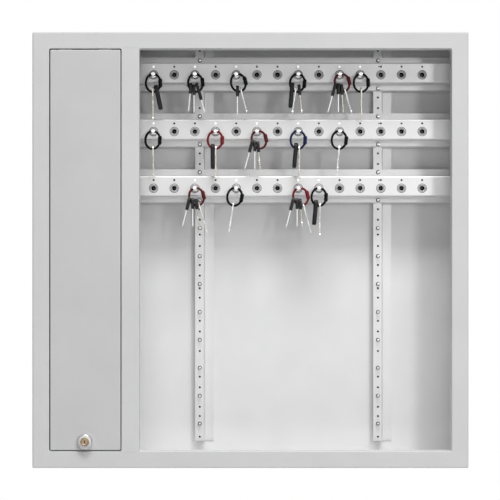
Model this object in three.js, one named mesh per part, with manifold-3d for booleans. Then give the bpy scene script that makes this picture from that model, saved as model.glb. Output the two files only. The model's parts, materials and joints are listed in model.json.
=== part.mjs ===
// Wall-mounted key cabinet: a folded sheet-steel case with an open key bay on the right and a locked
// service compartment on the left. Key strips hang on two perforated rails, each with a row of round
// sockets, and key pegs plug into them, each carrying a key ring and its keys.
//
// Units are millimetres. X runs to the right, Y into the wall, Z up. The origin is the centre of the
// back face, which lies against the wall.
import * as THREE from "three";
import { mergeVertices } from "three/addons/utils/BufferGeometryUtils.js";
import Module from "manifold-3d";

const wasm = await Module();
wasm.setup();

// ---------- Driving dimensions ----------

const WIDTH = 730;
const HEIGHT = 730;
const DEPTH = 120;
const SHEET = 1.5; // thickness of all folded sheet
const GAP = 0.3; // clearance left between pieces that touch on the real cabinet

const BORDER = 28; // width of the front frame round the openings
const LIP = 22; // depth of the return lip round each opening, from the front face
const MULLION_LEFT = -216;
const MULLION_WIDTH = 30;
const SIDES = 8; // facets on small round features

const FRONT = -DEPTH; // y of the front face
const EDGE_X = WIDTH / 2;
const EDGE_Z = HEIGHT / 2;
const OPEN_X = EDGE_X - BORDER; // outer edges of the two openings
const OPEN_Z = EDGE_Z - BORDER;
const MULLION_RIGHT = MULLION_LEFT + MULLION_WIDTH;

// Rails and their pins
const PIN_PITCH = 48.6;
const FIRST_PIN_Z = 329.6;
const PIN_COUNT = 14;
const RAIL = { face: 16.2, base: 16, height: 12, top: 350, bottom: -332 };
const RAIL_X = { rail_left: -88.1, rail_right: 222 }; // centre line of each rail's face
const RAIL_FRONT = -(SHEET + RAIL.height + 1.5);
const PIN = { radius: 3.2, length: 6, hole: 3.9 };
const TRIM_HOLE_RADIUS = 1.7;
const BAY_HOLES = [0.32, 0.7]; // between strips, as a share of the pin pitch below each second pin
const MID_HOLES = [[0.23, 0.64], [0.15, 0.49], [0.4], [0.4, 0.73]]; // below pins 7, 9, 11 and 13
const MID_HOLES_FROM = 6;

// Key strips
const STRIP_COUNT = 3;
const STRIP = { left: -211.5, right: 346.5, half: 29.4, faceTop: 15.7, faceBottom: -18.8, depth: 42 };
const STRIP_BACK = RAIL_FRONT - GAP;
const STRIP_FACE = STRIP_BACK - STRIP.depth; // y of the front of the strip's face
const SLOT_COUNT = 14;
const SLOT_PITCH = 35.4;
const FIRST_SLOT_X = -165.9;
const SOCKET = { z: -5.1, radius: 7.5, hole: 7.9, bore: 4.5, boreDepth: 19 };
const LAMP = { z: 8.9, half: 0.9, holeHalf: 1.3 };
const PAIRED_LAMP_SLOT = 11; // this slot has a second lamp hole beside its lamp
const PAIRED_LAMP_OFFSET = -3.4;
const BOARD = { back: -32.4, thick: 1.6, top: 12.5, bottom: -15.5 };

// Key pegs and rings
const PEG = { plug: 4.0, neck: 3.6, collar: 5.2, head: 4.2, disc: 3.7, reach: 17 };
const EYE = { reach: 12, radius: 3.1, halfTongue: 2.2 };
const RING = { halfWidth: 12.5, halfHeight: 15.3, wire: 1.75 };
const SLEEVE = { radius: 3.2, length: 15 };
const KEY = {
  long: { bow: [2.2, 21, 23], blade: [2.2, 8, 34] },
  mid: { bow: [2.2, 21, 21], blade: [2.2, 8, 32] },
  short: { bow: [2.2, 18, 17], blade: [2.2, 7, 28] },
  cap: { bow: [4.8, 20, 18.5], blade: [2.2, 8, 31] },
  midcap: { bow: [4.8, 20, 22.5], blade: [2.2, 8, 30] },
  longcap: { bow: [4.8, 20, 30], blade: [2.2, 8, 24] },
  fob: { bow: [6.4, 21, 43], blade: null },
};

// What hangs where: strip, slot, how far the ring is turned on its peg in degrees, then each key as
// [kind, sideways place of its top, how far its top is below the peg, lean in degrees].
const BUNCHES = [
  [0, 0, 0, [["long", 0, 22, 0], ["fob", 4.4, 19, 12]]],
  [0, 2, 5, [["cap", -6, 15.5, -5], ["cap", -0.9, 18, 0], ["longcap", 3.2, 15.5, 16]]],
  [0, 4, 14, [["cap", 2.2, 20, 0], ["short", 7, 23, 15]]],
  [0, 7, -7, [["fob", -10.5, 15, -4.5], ["short", -4, 23, -8.5], ["cap", 0.6, 18, 6]]],
  [0, 9, 14, [
    ["midcap", -7.4, 16, -15], ["cap", -2.8, 16.5, 0],
    ["cap", 2.3, 17.5, 4], ["short", 6.9, 24, 17],
  ]],
  [0, 10, 2, [["long", 0.5, 23.5, 1]]],
  [1, 0, -3, [["long", 0.5, 25.5, 0]]],
  [1, 3, -2, [["fob", -4.6, 22, 0], ["long", 0.8, 25, 0]]],
  [1, 5, 13, [["midcap", -7.2, 15, -15], ["cap", -3.6, 16.5, 0], ["cap", 1.4, 18, 5]]],
  [1, 7, -3, [["fob", -3.7, 20.5, -5], ["long", 1.2, 25, 0]]],
  [1, 9, -6, [["mid", -1.4, 25, -4.5]]],
  [2, 2, 12, [
    ["midcap", -8.2, 16, -14], ["cap", -3.2, 17.4, 0],
    ["cap", 2.3, 18.3, 6], ["mid", 7.6, 27, 16],
  ]],
  [2, 4, -10, [["mid", -4.2, 24, -9]]],
  [2, 7, 14, [
    ["midcap", -8.2, 16.5, -14], ["cap", -2.3, 17.6, 0],
    ["cap", 2.3, 18.5, 5], ["mid", 7.8, 27, 15.5],
  ]],
  [2, 8, -2, [["fob", -5.1, 20.4, -5], ["long", 0.9, 25.5, 0]]],
];

// Service compartment
const COVER_PLAY = { left: 1.6, right: 1.4, end: 1.6 };
const COVER_FRONT = FRONT + 0.8;
const COVER_FLANGE = 10;
const HOOK = { width: 20, rise: 8.8, xs: [-310, -243] };
const LOCK = { x: -276.5, z: -320, barrel: 9, rose: 13, roseFront: 8.6, reach: 9, bore: 6.7, plug: 6.3 };
const CAM = { thick: 2, halfWidth: 7, length: 30 };
const WALL_X = 290; // sideways place of the keyholes
const KEYHOLE = { z: 318, head: 6, neck: 2.8, rise: 12 };
const LOW_HOLE_Z = -300;
const CABLE_HOLE = { x: -330, z: -290, radius: 13 };
const CABLE_WINDOW = { y: [-42, -20], z: [285, 307] }; // in the partition
const RIBBON = { main: [290, 302], link: [-208.5, -196], thick: 1 };
const PLATE = { left: -350, right: -230, bottom: -240, top: 322, front: -8 };

// ---------- Materials ----------

const finish = (color, roughness, metalness) =>
  new THREE.MeshStandardMaterial({ color, roughness, metalness });
const LOOK = {
  case: finish(0xd2d2d2, 0.55, 0),
  cover: finish(0xc7c7c7, 0.6, 0),
  strip: finish(0xe6e6e4, 0.4, 0.2),
  zinc: finish(0xc9ccce, 0.35, 0.8),
  nickel: finish(0xe6e6e6, 0.25, 0.9),
  brass: finish(0xb79267, 0.35, 0.9),
  board: finish(0x2c5a3a, 0.6, 0),
  plastic: finish(0x1c1c1e, 0.5, 0),
  aluminium: finish(0xb8babb, 0.4, 0.8),
  ribbon: finish(0xa9adb1, 0.6, 0),
};

// ---------- Solids ----------

/** A closed three.js geometry as a manifold-3d solid. */
function solid(geometry) {
  const bare = new THREE.BufferGeometry().setAttribute(
    "position",
    (geometry.index ? geometry.toNonIndexed() : geometry).getAttribute("position"),
  );
  const merged = mergeVertices(bare, 1e-3);
  const triVerts = new Uint32Array(merged.index.array);
  const vertProperties = merged.attributes.position.array;
  return new wasm.Manifold(new wasm.Mesh({ numProp: 3, vertProperties, triVerts }));
}

/** A solid's triangles as a three.js geometry. */
function geometryOf(made) {
  const { numProp, numVert, vertProperties, triVerts } = made.getMesh();
  const position = new Float32Array(numVert * 3);
  for (let i = 0; i < numVert; i++) {
    position.set(vertProperties.subarray(i * numProp, i * numProp + 3), i * 3);
  }
  return new THREE.BufferGeometry()
    .setAttribute("position", new THREE.BufferAttribute(position, 3))
    .setIndex(new THREE.BufferAttribute(triVerts, 1));
}

const join = (pieces) => pieces.reduce((whole, piece) => whole.add(piece));
const cut = (whole, tools) => tools.reduce((left, tool) => left.subtract(tool), whole);

/** A block between two corners, given as ranges along x, y and z. */
function block([x0, x1], [y0, y1], [z0, z1]) {
  const box = new THREE.BoxGeometry(x1 - x0, y1 - y0, z1 - z0);
  return solid(box.translate((x0 + x1) / 2, (y0 + y1) / 2, (z0 + z1) / 2));
}

/** A round bar along Y, from y0 to y1. */
function drum(radius, [y0, y1], x, z, sides = SIDES) {
  const bar = new THREE.CylinderGeometry(radius, radius, y1 - y0, sides);
  bar.rotateY(Math.PI / sides);
  return solid(bar.translate(x, (y0 + y1) / 2, z));
}

/** A turned solid on an axis along Y; the profile is [radius, y] pairs from the front to the back. */
function turned(profile, x, z, sides = SIDES) {
  const points = profile.map(([r, y]) => new THREE.Vector2(r, y));
  const lathe = new THREE.LatheGeometry(points, sides, Math.PI / sides);
  return solid(lathe.translate(x, 0, z));
}

/** An outline of [x, y] points, extruded along Z. */
function prismZ(outline, [z0, z1]) {
  const shape = new THREE.Shape(outline.map(([a, b]) => new THREE.Vector2(a, b)));
  const body = new THREE.ExtrudeGeometry(shape, { depth: z1 - z0, bevelEnabled: false });
  return solid(body.translate(0, 0, z0));
}

const AXIS_X = new THREE.Vector3(1, 0, 0);
const AXIS_Y = new THREE.Vector3(0, 1, 0);
const AXIS_Z = new THREE.Vector3(0, 0, 1);

/** An outline of [y, z] points, extruded along X. */
function prismX(outline, [x0, x1]) {
  const shape = new THREE.Shape(outline.map(([a, b]) => new THREE.Vector2(a, b)));
  const body = new THREE.ExtrudeGeometry(shape, { depth: x1 - x0, bevelEnabled: false });
  body.applyMatrix4(new THREE.Matrix4().makeBasis(AXIS_Y, AXIS_Z, AXIS_X));
  return solid(body.translate(x0, 0, 0));
}

/** The outline of a strip of even thickness that follows a path of [a, b] points. */
function ribbonOutline(path, thick) {
  const side = (sign) =>
    path.map(([a, b], i) => {
      const before = path[Math.max(i - 1, 0)];
      const after = path[Math.min(i + 1, path.length - 1)];
      const along = new THREE.Vector2(after[0] - before[0], after[1] - before[1]).normalize();
      return [a - (sign * along.y * thick) / 2, b + (sign * along.x * thick) / 2];
    });
  return [...side(-1), ...side(1).reverse()];
}

// ---------- Case ----------

/** The tray: back and four sides, with the wall fixings and the cable hole cut in the back. */
function cabinetShell() {
  const front = FRONT + SHEET + GAP;
  const tray = block([-EDGE_X, EDGE_X], [front, 0], [-EDGE_Z, EDGE_Z]);
  const insideX = EDGE_X - SHEET;
  const insideZ = EDGE_Z - SHEET;
  const hollow = block([-insideX, insideX], [front - 1, -SHEET], [-insideZ, insideZ]);
  const through = [-SHEET - 1, 1];
  const holes = [-WALL_X, WALL_X].flatMap((x) => [
    drum(KEYHOLE.head, through, x, KEYHOLE.z),
    block([x - KEYHOLE.neck, x + KEYHOLE.neck], through, [KEYHOLE.z, KEYHOLE.z + KEYHOLE.rise]),
  ]);
  holes.push(drum(KEYHOLE.neck, through, -WALL_X, LOW_HOLE_Z));
  holes.push(drum(CABLE_HOLE.radius, through, CABLE_HOLE.x, CABLE_HOLE.z));
  return cut(tray, [hollow, ...holes]);
}

/** The flat front frame with its mullion, and a return lip round each opening. */
function frontFrame() {
  const openings = [
    [-OPEN_X, MULLION_LEFT],
    [MULLION_RIGHT, OPEN_X],
  ];
  const plate = block([-EDGE_X, EDGE_X], [FRONT, FRONT + SHEET], [-EDGE_Z, EDGE_Z]);
  const lips = openings.map(([x0, x1]) =>
    block([x0 - SHEET, x1 + SHEET], [FRONT, FRONT + LIP], [-OPEN_Z - SHEET, OPEN_Z + SHEET]),
  );
  const holes = openings.map(([x0, x1]) =>
    block([x0, x1], [FRONT - 1, FRONT + LIP + 1], [-OPEN_Z, OPEN_Z]),
  );
  const hookSlots = HOOK.xs.map((x) =>
    block(
      [x - HOOK.width / 2 - 1, x + HOOK.width / 2 + 1],
      [FRONT + SHEET + GAP, FRONT + LIP + 1],
      [OPEN_Z - 1, OPEN_Z + SHEET + 1],
    ),
  );
  return cut(join([plate, ...lips]), [...holes, ...hookSlots]);
}

/** The wall between the service compartment and the key bay, folded along its back edge. */
function partition() {
  const left = MULLION_LEFT + SHEET + GAP;
  const right = left + SHEET;
  const back = -SHEET - GAP;
  const foot = 12;
  const height = EDGE_Z - SHEET - GAP;
  const fold = [
    [left, FRONT + 3],
    [right, FRONT + 3],
    [right, back],
    [left - foot, back],
    [left - foot, back - SHEET],
    [left, back - SHEET],
  ];
  const window = block([left - 1, right + 1], CABLE_WINDOW.y, CABLE_WINDOW.z);
  return cut(prismZ(fold, [-height, height]), [window]);
}

// ---------- Rails ----------

const pinHeights = Array.from({ length: PIN_COUNT }, (_, i) => FIRST_PIN_Z - i * PIN_PITCH);

/** Heights of the small holes that lie between the pins of a rail. */
function trimHoleHeights() {
  const below = (pins) => FIRST_PIN_Z - pins * PIN_PITCH;
  const bays = Array.from({ length: PIN_COUNT / 2 - 1 }, (_, i) => 2 * i + 1);
  return [
    below(-0.35),
    ...bays.flatMap((pin) => BAY_HOLES.map((share) => below(pin + share))),
    ...MID_HOLES.flatMap((shares, i) => shares.map((s) => below(MID_HOLES_FROM + 2 * i + s))),
    below(PIN_COUNT - 0.53),
  ];
}

/** A Z-shaped rail: a base flange on the back wall and a raised, perforated face with its pins. */
function rail(x) {
  const half = RAIL.face / 2;
  const back = -SHEET - GAP;
  const fold = [
    [x - half, RAIL_FRONT],
    [x + half, RAIL_FRONT],
    [x + half, back - SHEET],
    [x + half + RAIL.base, back - SHEET],
    [x + half + RAIL.base, back],
    [x + half - SHEET, back],
    [x + half - SHEET, RAIL_FRONT + SHEET],
    [x - half, RAIL_FRONT + SHEET],
  ];
  const bar = prismZ(fold, [RAIL.bottom, RAIL.top]);
  const pinSpan = [RAIL_FRONT - PIN.length, RAIL_FRONT + SHEET];
  const pins = pinHeights.map((z) => drum(PIN.radius, pinSpan, x, z, 6));
  const holeSpan = [RAIL_FRONT - 1, RAIL_FRONT + SHEET + 1];
  const holes = trimHoleHeights().map((z) => drum(TRIM_HOLE_RADIUS, holeSpan, x, z, 6));
  return cut(join([bar, ...pins]), holes);
}

// ---------- Key strips ----------

/** The height of a strip's middle, halfway between the two pins that carry it. */
const stripZ = (strip) => FIRST_PIN_Z - PIN_PITCH / 2 - 2 * strip * PIN_PITCH;
const slotX = (slot) => FIRST_SLOT_X + slot * SLOT_PITCH;
const slots = Array.from({ length: SLOT_COUNT }, (_, i) => i);

/** Sideways places of a strip's lamp holes: one for each slot, and one more beside the paired slot. */
const lampXs = [...slots.map(slotX), slotX(PAIRED_LAMP_SLOT) + PAIRED_LAMP_OFFSET];

/** The folded housing of a strip: a hat section with holes for sockets, lamps and rail pins. */
function stripHousing(strip) {
  const z = stripZ(strip);
  const front = STRIP_FACE;
  const back = STRIP_BACK;
  const [top, bottom] = [z + STRIP.faceTop, z + STRIP.faceBottom];
  const hat = [
    [back, z + STRIP.half],
    [back - SHEET, z + STRIP.half],
    [back - SHEET, top],
    [front, top],
    [front, bottom],
    [back - SHEET, bottom],
    [back - SHEET, z - STRIP.half],
    [back, z - STRIP.half],
    [back, bottom + SHEET],
    [front + SHEET, bottom + SHEET],
    [front + SHEET, top - SHEET],
    [back, top - SHEET],
  ];
  const faceSpan = [front - 1, front + SHEET + 1];
  const socketHoles = slots.map((s) =>
    drum(SOCKET.hole, faceSpan, slotX(s), z + SOCKET.z),
  );
  const lampHoles = lampXs.map((x) =>
    block([x - LAMP.holeHalf, x + LAMP.holeHalf], faceSpan, [
      z + LAMP.z - LAMP.holeHalf,
      z + LAMP.z + LAMP.holeHalf,
    ]),
  );
  const pinHoles = Object.values(RAIL_X).flatMap((x) =>
    [PIN_PITCH / 2, -PIN_PITCH / 2].map((dz) =>
      drum(PIN.hole, [back - SHEET - 1, back + 1], x, z + dz),
    ),
  );
  return cut(prismX(hat, [STRIP.left, STRIP.right]), [
    ...socketHoles,
    ...lampHoles,
    ...pinHoles,
  ]);
}

/** A strip's circuit board with its sockets, lamps and locking magnets, which fill the housing. */
function lockModule(strip) {
  const z = stripZ(strip);
  const boardFront = BOARD.back - BOARD.thick;
  const board = block(
    [STRIP.left + 3, STRIP.right - 3],
    [boardFront, BOARD.back],
    [z + BOARD.bottom, z + BOARD.top],
  );
  const sockets = slots.map((s) =>
    drum(SOCKET.radius, [STRIP_FACE, boardFront + 0.5], slotX(s), z + SOCKET.z),
  );
  const lamps = lampXs.map((x) =>
    block([x - LAMP.half, x + LAMP.half], [STRIP_FACE + 0.2, boardFront + 0.5], [
      z + LAMP.z - LAMP.half,
      z + LAMP.z + LAMP.half,
    ]),
  );
  const magnets = slots.map((s) =>
    block([slotX(s) - 6, slotX(s) + 6], [BOARD.back - 0.5, BOARD.back + 13], [
      z + SOCKET.z - 7,
      z + SOCKET.z + 7,
    ]),
  );
  const bores = slots.map((s) =>
    drum(
      SOCKET.bore,
      [STRIP_FACE - 1, STRIP_FACE + SOCKET.boreDepth],
      slotX(s),
      z + SOCKET.z,
    ),
  );
  return cut(join([board, ...sockets, ...lamps, ...magnets]), bores);
}

// ---------- Pegs, rings and keys ----------

/** A peg: a plug that fits the socket's bore, a collar, and a tongue with a cross eye behind a disc. */
function keyPeg(x, z) {
  const face = STRIP_FACE - GAP;
  const tip = face - PEG.reach;
  const profile = [
    [0, tip],
    [PEG.disc - 0.6, tip],
    [PEG.disc, tip + 0.6],
    [PEG.disc, tip + 1.5],
    [PEG.head, tip + 2],
    [PEG.head, tip + 9],
    [PEG.neck, tip + 10.5],
    [PEG.neck, face - 2],
    [PEG.collar, face - 1.6],
    [PEG.collar, face],
    [PEG.plug, face],
    [PEG.plug, face + SOCKET.boreDepth - 2],
    [0, face + SOCKET.boreDepth - 1],
  ];
  const eye = new THREE.CylinderGeometry(EYE.radius, EYE.radius, 3 * PEG.head, 2 * SIDES);
  eye.rotateZ(Math.PI / 2).translate(x, STRIP_FACE - EYE.reach, z);
  const beside = [
    [x - 2 * PEG.head, x - EYE.halfTongue],
    [x + EYE.halfTongue, x + 2 * PEG.head],
  ];
  const flats = beside.map((span) =>
    block(span, [tip + 1.5, tip + 9.5], [z - 2 * PEG.head, z + 2 * PEG.head]),
  );
  return cut(turned(profile, x, z), [solid(eye), ...flats]);
}

/** The ellipse that a ring's wire follows, hanging from the peg's eye. */
class RingCurve extends THREE.Curve {
  getPoint(share, target = new THREE.Vector3()) {
    const angle = share * 2 * Math.PI;
    const up = RING.halfHeight * (Math.sin(angle) - 1);
    return target.set(RING.halfWidth * Math.cos(angle), 0, up);
  }
}

/** A ring with its screw sleeve, turned on the eye that it hangs from. */
function keyRing(turn, eye) {
  const wire = new THREE.TubeGeometry(new RingCurve(), 16, RING.wire, 6, true);
  const sleeve = new THREE.CylinderGeometry(SLEEVE.radius, SLEEVE.radius, SLEEVE.length, 6)
    .rotateX(Math.PI / 2)
    .translate(RING.halfWidth - 0.4, 0, -RING.halfHeight);
  return [wire, sleeve].map((part) =>
    solid(part.rotateY(THREE.MathUtils.degToRad(-turn)).translate(...eye)),
  );
}

/** One key or fob, leaning sideways, with the place of its top measured from its ring's eye. */
function hangingKey([kind, across, below, lean], eye) {
  const { bow, blade } = KEY[kind];
  const overlap = 1;
  const parts = [new THREE.BoxGeometry(...bow).translate(0, 0, -bow[2] / 2)];
  if (blade) {
    parts.push(new THREE.BoxGeometry(...blade).translate(0, 0, overlap - bow[2] - blade[2] / 2));
  }
  const turn = THREE.MathUtils.degToRad(-lean);
  return parts.map((part) =>
    solid(part.rotateY(turn).translate(across, 0, -below).translate(...eye)),
  );
}

/** A key ring and everything that hangs on it. */
function keyBunch(turn, keys, x, z) {
  const eye = [x, STRIP_FACE - EYE.reach, z];
  return join([...keyRing(turn, eye), ...keys.flatMap((key) => hangingKey(key, eye))]);
}

// ---------- Cover and lock ----------

const COVER_X = [-OPEN_X + COVER_PLAY.left, MULLION_LEFT - COVER_PLAY.right];
const COVER_Z = [-OPEN_Z + COVER_PLAY.end, OPEN_Z - COVER_PLAY.end];
const LOCK_END = FRONT + LIP + 0.5;

/** The lift-off cover of the service compartment: a shallow pan with two hooks along its top. */
function compartmentCover() {
  const [x0, x1] = COVER_X;
  const [z0, z1] = COVER_Z;
  const back = COVER_FRONT + COVER_FLANGE;
  const pan = cut(block([x0, x1], [COVER_FRONT, back], [z0, z1]), [
    block([x0 + SHEET, x1 - SHEET], [COVER_FRONT + SHEET, back + 1], [z0 + SHEET, z1 - SHEET]),
  ]);
  const hookFront = FRONT + 4;
  const hooks = HOOK.xs.map((x) =>
    block([x - HOOK.width / 2, x + HOOK.width / 2], [hookFront, hookFront + SHEET], [
      z1 - SHEET,
      z1 + HOOK.rise,
    ]),
  );
  const lockHole = drum(LOCK.barrel + GAP, [FRONT, back], LOCK.x, LOCK.z, 16);
  return cut(join([pan, ...hooks]), [lockHole]);
}

/** The lock's housing: a domed rose in front of the cover and a barrel behind it. */
function lockBody() {
  const rose = COVER_FRONT - GAP;
  const tip = rose - LOCK.reach;
  const profile = [
    [0, tip],
    [LOCK.roseFront, tip],
    [LOCK.rose - 1.2, rose - 2.2],
    [LOCK.rose, rose - 0.8],
    [LOCK.rose, rose],
    [LOCK.barrel, rose],
    [LOCK.barrel, LOCK_END],
    [0, LOCK_END],
  ];
  const bore = drum(LOCK.bore, [tip - 1, LOCK_END + 1], LOCK.x, LOCK.z, 16);
  return cut(turned(profile, LOCK.x, LOCK.z, 16), [bore]);
}

/** The hexagon nut that clamps the lock to the cover. */
function lockNut() {
  const front = COVER_FRONT + SHEET + GAP;
  const nut = drum(13, [front, front + 3], LOCK.x, LOCK.z, 6);
  return cut(nut, [drum(LOCK.barrel + GAP, [front - 1, front + 4], LOCK.x, LOCK.z, 16)]);
}

/** The turning plug, with the keyway in front and a screw hole behind. */
function lockPlug() {
  const tip = COVER_FRONT - GAP - LOCK.reach + 0.4;
  const plug = drum(LOCK.plug, [tip, LOCK_END + 0.3], LOCK.x, LOCK.z, 16);
  const keyway = block([LOCK.x - 0.6, LOCK.x + 0.6], [tip - 1, tip + 8], [LOCK.z - 4, LOCK.z + 3]);
  const screwHole = drum(2.2, [LOCK_END - 8, LOCK_END + 1], LOCK.x, LOCK.z);
  return cut(plug, [keyway, screwHole]);
}

const CAM_FRONT = LOCK_END + 0.3 + GAP;

/** The cam on the back of the plug, pointing sideways when the lock is open. */
function lockCam() {
  const span = [CAM_FRONT, CAM_FRONT + CAM.thick];
  const arm = block([LOCK.x, LOCK.x + CAM.length], span, [
    LOCK.z - CAM.halfWidth,
    LOCK.z + CAM.halfWidth,
  ]);
  const hub = drum(CAM.halfWidth / Math.cos(Math.PI / 16), span, LOCK.x, LOCK.z, 16);
  const hole = drum(2.2, [span[0] - 1, span[1] + 1], LOCK.x, LOCK.z);
  return cut(join([arm, hub]), [hole]);
}

/** The screw that holds the cam on the plug. */
function camScrew() {
  const seat = CAM_FRONT + CAM.thick + GAP;
  return join([
    drum(4, [seat, seat + 2.4], LOCK.x, LOCK.z, 12),
    drum(1.7, [LOCK_END - 6, seat + 0.5], LOCK.x, LOCK.z),
  ]);
}

// ---------- Electronics in the service compartment ----------

/** The mounting plate, on four spacers that stand on the back wall. */
function electronicsPlate() {
  const back = PLATE.front + SHEET;
  const plate = block([PLATE.left, PLATE.right], [PLATE.front, back], [PLATE.bottom, PLATE.top]);
  const spacers = [PLATE.left + 8, PLATE.right - 8].flatMap((x) =>
    [PLATE.bottom + 8, PLATE.top - 8].map((z) => drum(4, [back - 0.5, -SHEET - GAP], x, z)),
  );
  return join([plate, ...spacers]);
}

/** The control board with its processor, relays and connectors, on four spacers. */
function controlBoard() {
  const [back, front] = [-18, -19.6];
  const board = block([-345, -236], [front, back], [130, 310]);
  const onBoard = (xs, height, zs) => block(xs, [front - height, front + 0.5], zs);
  const processor = onBoard([-300, -276], 2, [210, 234]);
  const relays = [onBoard([-340, -322], 13, [140, 170]), onBoard([-318, -300], 13, [140, 170])];
  const stripConnector = onBoard([-252, -240], 16, [284, 308]);
  const networkConnector = onBoard([-340, -290], 9, [294, 306]);
  const spacers = [-339, -242].flatMap((x) =>
    [136, 304].map((z) => drum(3, [back - 0.5, PLATE.front - GAP], x, z, 6)),
  );
  return join([board, processor, ...relays, stripConnector, networkConnector, ...spacers]);
}

/** The enclosed power supply, with its terminal ledge at the bottom. */
function powerSupply() {
  const back = PLATE.front - GAP;
  return cut(block([-340, -242], [back - 36, back], [-40, 100]), [
    block([-341, -241], [back - 40, back - 12], [-41, -26]),
  ]);
}

/** The terminal block on the power supply's ledge. */
function terminalBlock() {
  const back = PLATE.front - GAP - 12 - GAP;
  const body = block([-334, -248], [back - 14, back], [-39, -27]);
  const wells = Array.from({ length: 5 }, (_, i) => -326 + i * 17.5).map((x) =>
    block([x - 3, x + 3], [back - 15, back - 8], [-36, -30]),
  );
  return cut(body, wells);
}

const BATTERY = { x: [-337, -243], y: [-74, -9], z: [-226, -75] };

/** The sealed backup battery, with two spade terminals. */
function backupBattery() {
  const { x, y, z } = BATTERY;
  const terminals = [x[0] + 12, x[1] - 12].map((tx) =>
    block([tx - 3, tx + 3], [y[0] + 10, y[0] + 11], [z[1] - 1, z[1] + 7]),
  );
  return join([block(x, y, z), ...terminals]);
}

/** The folded shelf under the battery. */
function batteryShelf() {
  const { x, y, z } = BATTERY;
  const top = z[0] - GAP;
  const plateFront = PLATE.front - GAP;
  const fold = [
    [y[0] - 6, top + 6],
    [y[0] - 6, top - SHEET],
    [plateFront, top - SHEET],
    [plateFront, top],
    [y[0] - 6 + SHEET, top],
    [y[0] - 6 + SHEET, top + 6],
  ];
  return prismX(fold, [x[0] - 2, x[1] + 2]);
}

/** The strap that holds the battery to the plate. */
function batteryStrap() {
  const { x, y } = BATTERY;
  const [inner, outer] = [GAP, GAP + 1.2];
  const back = PLATE.front - GAP;
  const outline = [
    [x[0] - inner - 7, back],
    [x[0] - inner - 7, back - 1.2],
    [x[0] - outer, back - 1.2],
    [x[0] - outer, y[0] - outer],
    [x[1] + outer, y[0] - outer],
    [x[1] + outer, back - 1.2],
    [x[1] + inner + 7, back - 1.2],
    [x[1] + inner + 7, back],
    [x[1] + inner, back],
    [x[1] + inner, y[0] - inner],
    [x[0] - inner, y[0] - inner],
    [x[0] - inner, back],
  ];
  return prismZ(outline, [-160, -140]);
}

/** The grommet that lines the cable hole in the back. */
function cableGrommet() {
  const { x, z, radius } = CABLE_HOLE;
  const neck = radius - GAP;
  const rim = radius + 3;
  const inside = -SHEET - GAP;
  const profile = [
    [0, inside - 2.5],
    [rim, inside - 2.5],
    [rim, inside],
    [neck, inside],
    [neck, -0.1],
    [0, -0.1],
  ];
  return cut(turned(profile, x, z), [drum(8, [-20, 5], x, z)]);
}

/** The flat cable from the control board, through the partition, into the first strip's open end. */
function mainRibbon() {
  const path = [
    [-239, -34.5],
    [-228, -38],
    [-218, -38],
    [-206, -38],
    [-204, -37.2],
    [-199, -35],
  ];
  return prismZ(ribbonOutline(path, RIBBON.thick), RIBBON.main);
}

/** The flat cable that links one strip's board to the next, behind both housings. */
function linkRibbon(strip) {
  const from = stripZ(strip) - 6;
  const to = stripZ(strip + 1) + 6;
  const [board, behind] = [BOARD.back + GAP + 0.4, -8];
  const path = [
    [board, from + 1],
    [board + 5, from],
    [behind - 2, from - 3],
    [behind, from - 8],
    [behind, to + 8],
    [behind - 2, to + 3],
    [board + 5, to],
    [board, to - 1],
  ];
  return prismX(ribbonOutline(path, RIBBON.thick), RIBBON.link);
}

// ---------- Assembly ----------

const cabinet = new THREE.Group();

function place(name, made, look) {
  const mesh = new THREE.Mesh(geometryOf(made), look);
  mesh.name = name;
  cabinet.add(mesh);
}

const numbered = (index) => String(index + 1).padStart(2, "0");

place("cabinet_shell", cabinetShell(), LOOK.case);
place("front_frame", frontFrame(), LOOK.case);
place("partition", partition(), LOOK.case);
for (const [name, x] of Object.entries(RAIL_X)) {
  place(name, rail(x), LOOK.case);
}
for (let strip = 0; strip < STRIP_COUNT; strip++) {
  place(`strip_housing_${strip + 1}`, stripHousing(strip), LOOK.strip);
  place(`lock_module_${strip + 1}`, lockModule(strip), LOOK.board);
}
BUNCHES.forEach(([strip, slot, turn, keys], i) => {
  const [x, z] = [slotX(slot), stripZ(strip) + SOCKET.z];
  place(`key_peg_${numbered(i)}`, keyPeg(x, z), LOOK.nickel);
  place(`key_bunch_${numbered(i)}`, keyBunch(turn, keys, x, z), LOOK.plastic);
});
place("compartment_cover", compartmentCover(), LOOK.cover);
place("lock_body", lockBody(), LOOK.nickel);
place("lock_nut", lockNut(), LOOK.zinc);
place("lock_plug", lockPlug(), LOOK.brass);
place("lock_cam", lockCam(), LOOK.zinc);
place("cam_screw", camScrew(), LOOK.zinc);
place("electronics_plate", electronicsPlate(), LOOK.zinc);
place("control_board", controlBoard(), LOOK.board);
place("power_supply", powerSupply(), LOOK.aluminium);
place("terminal_block", terminalBlock(), LOOK.plastic);
place("backup_battery", backupBattery(), LOOK.plastic);
place("battery_shelf", batteryShelf(), LOOK.zinc);
place("battery_strap", batteryStrap(), LOOK.zinc);
place("cable_grommet", cableGrommet(), LOOK.plastic);
place("main_ribbon", mainRibbon(), LOOK.ribbon);
for (let strip = 0; strip < STRIP_COUNT - 1; strip++) {
  place(`link_ribbon_${strip + 1}`, linkRibbon(strip), LOOK.ribbon);
}

export default cabinet;
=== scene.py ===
"""The looks of a key cabinet: every visible piece of it, its materials, the lights and the camera.

Lengths are in millimetres until a piece is finished, and every piece is placed in the model's own frame:
X to the right, Y into the wall, Z up, with the origin in the middle of the back face.
"""
import json
import math
import random

import bmesh
import bpy
from mathutils import Matrix, Vector


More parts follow.
